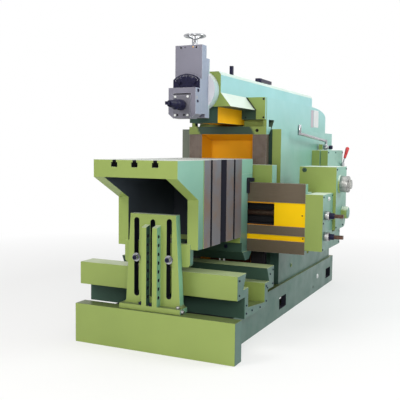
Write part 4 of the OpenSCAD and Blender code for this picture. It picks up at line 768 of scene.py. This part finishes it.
# Bare plates on the column
PLATE_BACK, PLATE_FRONT, PLATE_EDGE = .2701, .2713, .0004
PLATES = (("rose_plate", ROSE, (1.237, 1.285), (1.306, 1.421)),
          ("white_plate", PLATE, (1.319, 1.288), (1.456, 1.425)))
for name, material, low, high in PLATES:
    piece(name, "frame", material,
          lambda bm: brick(bm, (PLATE_BACK, *low), (PLATE_FRONT, *high)), PLATE_EDGE)
several("plate_rivets", "frame", STEEL, dome,
        [((PLATE_FRONT, y, z), X, .0026, .0014) for y in (1.243, 1.300, 1.326, 1.449)
         for z in (1.293, 1.415)])

# Clapper box and its scale
SCALE_Y = -.4303
SCALE_MID, SCALE_R = Vector((0, SCALE_Y, 1.405)), .128
TICK_STEP, TICK_SIDE, LONG_EVERY = math.radians(4.5), 8, 4
TICK_LONG, TICK_SHORT, TICK_HALF, TICK_T = .014, .008, .0009, .0005


def ticks(bm):
    for i in range(-TICK_SIDE, TICK_SIDE + 1):
        a = TICK_STEP * i
        out = Vector((math.sin(a), 0, math.cos(a)))
        half = Vector((math.cos(a), 0, -math.sin(a))) * TICK_HALF
        length = TICK_LONG if i % LONG_EVERY == 0 else TICK_SHORT
        p = SCALE_MID + out * (SCALE_R - length)
        end = SCALE_MID + out * SCALE_R
        prism(bm, [p - half, end - half, end + half, p + half], -Y, TICK_T)


piece("scale_ticks", "clapper_box", INK, ticks)
several("scale_nuts", "clapper_box", BLACK, hex_head,
        [((x, SCALE_Y, 1.490), -Y, .0085, .010) for x in (-.044, .050)])
CHEEK_X = .087
CHEEK_YZR = ((-.454, 1.440, .010), (-.461, 1.379, .008))
several("cheek_screws", "clapper_box", BLACK, socket_head,
        [((s * CHEEK_X, y, z), (s, 0, 0), r, .004) for s in BOTH for y, z, r in CHEEK_YZR])
# Dark screw heads as painted shade in the clapper's holes
several("clapper_holes", "clapper", DARK_AND_HOLE_SHADE, socket_head,
        [((x, -.491, 1.2995), -Y, .006, .002) for x in (-.026, .016)])

# Tool slide and handwheel
SLIDE_Y = -.405
# Dark socket screws, also painted shade in the slide's holes
several("slide_sockets", "tool_slide", DARK_AND_HOLE_SHADE, socket_head,
        [((s * SLIDE_HOLE[0], -.4005, SLIDE_HOLE[1]), -Y, .0055, .003) for s in BOTH])
several("slide_dot", "tool_slide", BLACK, socket_head,
        [((-.024, SLIDE_Y, 1.694), -Y, .0032, .0018)])
several("slide_oiler", "tool_slide", BRASS, dome, [((.028, SLIDE_Y, 1.695), -Y, .0052, .003)])
several("hub_nut", "handwheel", STEEL, hex_head, [((0, -.325, 1.766), Z, .0085, .010)])

# Cross rail, feed boxes and shafts
FEED_BOX_X, GEARBOX_X = .710, .729
FEED_BOX_YZ = ((.014, .663), (.014, .503), (.014, .823), (.222, .823), (.222, .663),
               (.425, .575), (.425, .505))
GEARBOX_YZ = ((.254, .984), (.499, .984), (.254, .616), (.440, .616))
several("cover_screws", "rail", DARK_AND_HOLE_SHADE, socket_head,
        [((s * .581, .006, .704), -Y, .0046, .0022) for s in BOTH])
several("strip_screws", "rail", BLACK, socket_head,
        [((s * .586, .012, .562), -Y, .0045, .0022) for s in BOTH])
several("feed_box_screws", "rail", BLACK, socket_head,
        [((FEED_BOX_X, y, z), X, *SMALL) for y, z in FEED_BOX_YZ])
several("oil_cap", "rail", PLATE, plug, [((FEED_BOX_X, .126, .807), X, .013, .010)])
# A plug painted in the shade colour: painted shade where the gearbox front is dark
several("gearbox_plug", "rail", SHADE, plug, [((.521, .238, .979), -Y, .015, .006)])
several("gearbox_screws", "rail", BLACK, socket_head,
        [((GEARBOX_X, y, z), X, *MEDIUM) for y, z in GEARBOX_YZ])
SLEEVE_START, SHAFT_Y = .7421, .045
SLEEVE = [(.0185, 0), (.0185, .024), (.0170, .030), (.0158, .0305)]
for body, z in (("traverse_screw", .709), ("lift_shaft", .582)):
    several(body + "_sleeve", body, BLACK, turned, [((SLEEVE_START, SHAFT_Y, z), X, SLEEVE)])

# Feed dial
DIAL_X, DIAL_Y, DIAL_Z = .7893, .330, .890
DIAL_R, DIAL_END, DIAL_N, DIAL_EVERY = .0519, .7885, 40, 5
DIAL_LONG, DIAL_SHORT, DIAL_HALF, DIAL_T = .015, .009, .0008, .0004
SOCKET_RING, SOCKET_ANGLES = .041, (.5, 2.6, 4.7)


def dial_marks(bm):
    for i in range(DIAL_N):
        a = 2 * math.pi * i / DIAL_N
        out = Vector((0, math.cos(a), math.sin(a)))
        half = Vector((0, -math.sin(a), math.cos(a))) * DIAL_HALF
        length = DIAL_LONG if i % DIAL_EVERY == 0 else DIAL_SHORT
        p = Vector((DIAL_X - length, DIAL_Y, DIAL_Z)) + out * DIAL_R
        end = Vector((DIAL_END, p.y, p.z))
        prism(bm, [p - half, p + half, end + half, end - half], out, DIAL_T)


piece("dial_ticks", "feed_dial", BLACK, dial_marks)
several("dial_sockets", "feed_dial", DARK_AND_HOLE_SHADE, socket_head,
        [((DIAL_X, DIAL_Y + SOCKET_RING * math.cos(a), DIAL_Z + SOCKET_RING * math.sin(a)),
          X, .0055, .002) for a in SOCKET_ANGLES])

# Levers
CLUTCH_CAP = [(.0135, 0), (.0145, .002), (.0145, .024), (.0125, .0265)]
several("clutch_cap", "clutch_lever", BLACK, turned, [((.446, 1.140, 1.128), X, CLUTCH_CAP)])

# Table, saddle and support
several("bolt_sockets", "table", BLACK, socket_head,
        [((x, -.7983, .508), -Y, .0128, .004) for x in (-.125, .077)])
several("saddle_bolts", "table", BLACK, socket_head,
        [((x, -.088, .496), -Y, .0130, .003) for x in (.116, -.164)])


def wiper(bm):
    brick(bm, (.2262, -.026, .832), (.2385, -.0012, .925))
    brick(bm, (.2262, -.022, .9051), (.2700, -.0020, .9295))


# A dark piece in the gap behind the saddle, painted shade there
piece("saddle_wiper", "table", RECESS_SHADE, wiper, .0015)
RIB_FOOT, RIB_TOP, RIB_HOLES = .2503, .680, 8
RIB_X, RIB_SINK = .033, .001
rise = (RIB_TOP - RIB_FOOT) / (RIB_HOLES + 1)
# Dark floors sunk in the rib holes, painted shade inside them
RIB_FLOOR = [(.0098, 0), (.0098, .0015), (.0080, .002)]
several("rib_hole_floors", "support", DARK_AND_HOLE_SHADE, turned,
        [((-TABLE_X + s * RIB_X - RIB_SINK, -RIB_Y, RIB_FOOT + i * rise), X, RIB_FLOOR, 20)
         for s in BOTH for i in range(1, RIB_HOLES + 1)])
# A dark floor in the drain hole, painted shade inside it
DRAIN_FLOOR = [(.0089, 0), (.0089, .003), (.0075, .004)]
several("drain_floor", "frame", DARK_AND_HOLE_SHADE, turned,
        [((.3735, DRAIN_Y, DRAIN_Z), X, DRAIN_FLOOR, 20)])

# Belt guard
GUARD_X = -.500
GUARD_RINGS = ((1.259, .720, .196, (25, 105, 185)), (1.380, .380, .076, (250, 340)))
guard_yz = []
for y, z, r, angles in GUARD_RINGS:
    for a in angles:
        guard_yz.append((y + r * math.cos(math.radians(a)), z + r * math.sin(math.radians(a))))
several("guard_screws", "frame", BLACK, socket_head,
        [((GUARD_X, y, z), -X, *HEAVY) for y, z in guard_yz])

# Clamp bolt at the support's foot
several("foot_clamp", "support", STEEL, hex_head, [((.166, -.797, .2368), X, .0095, .015)])
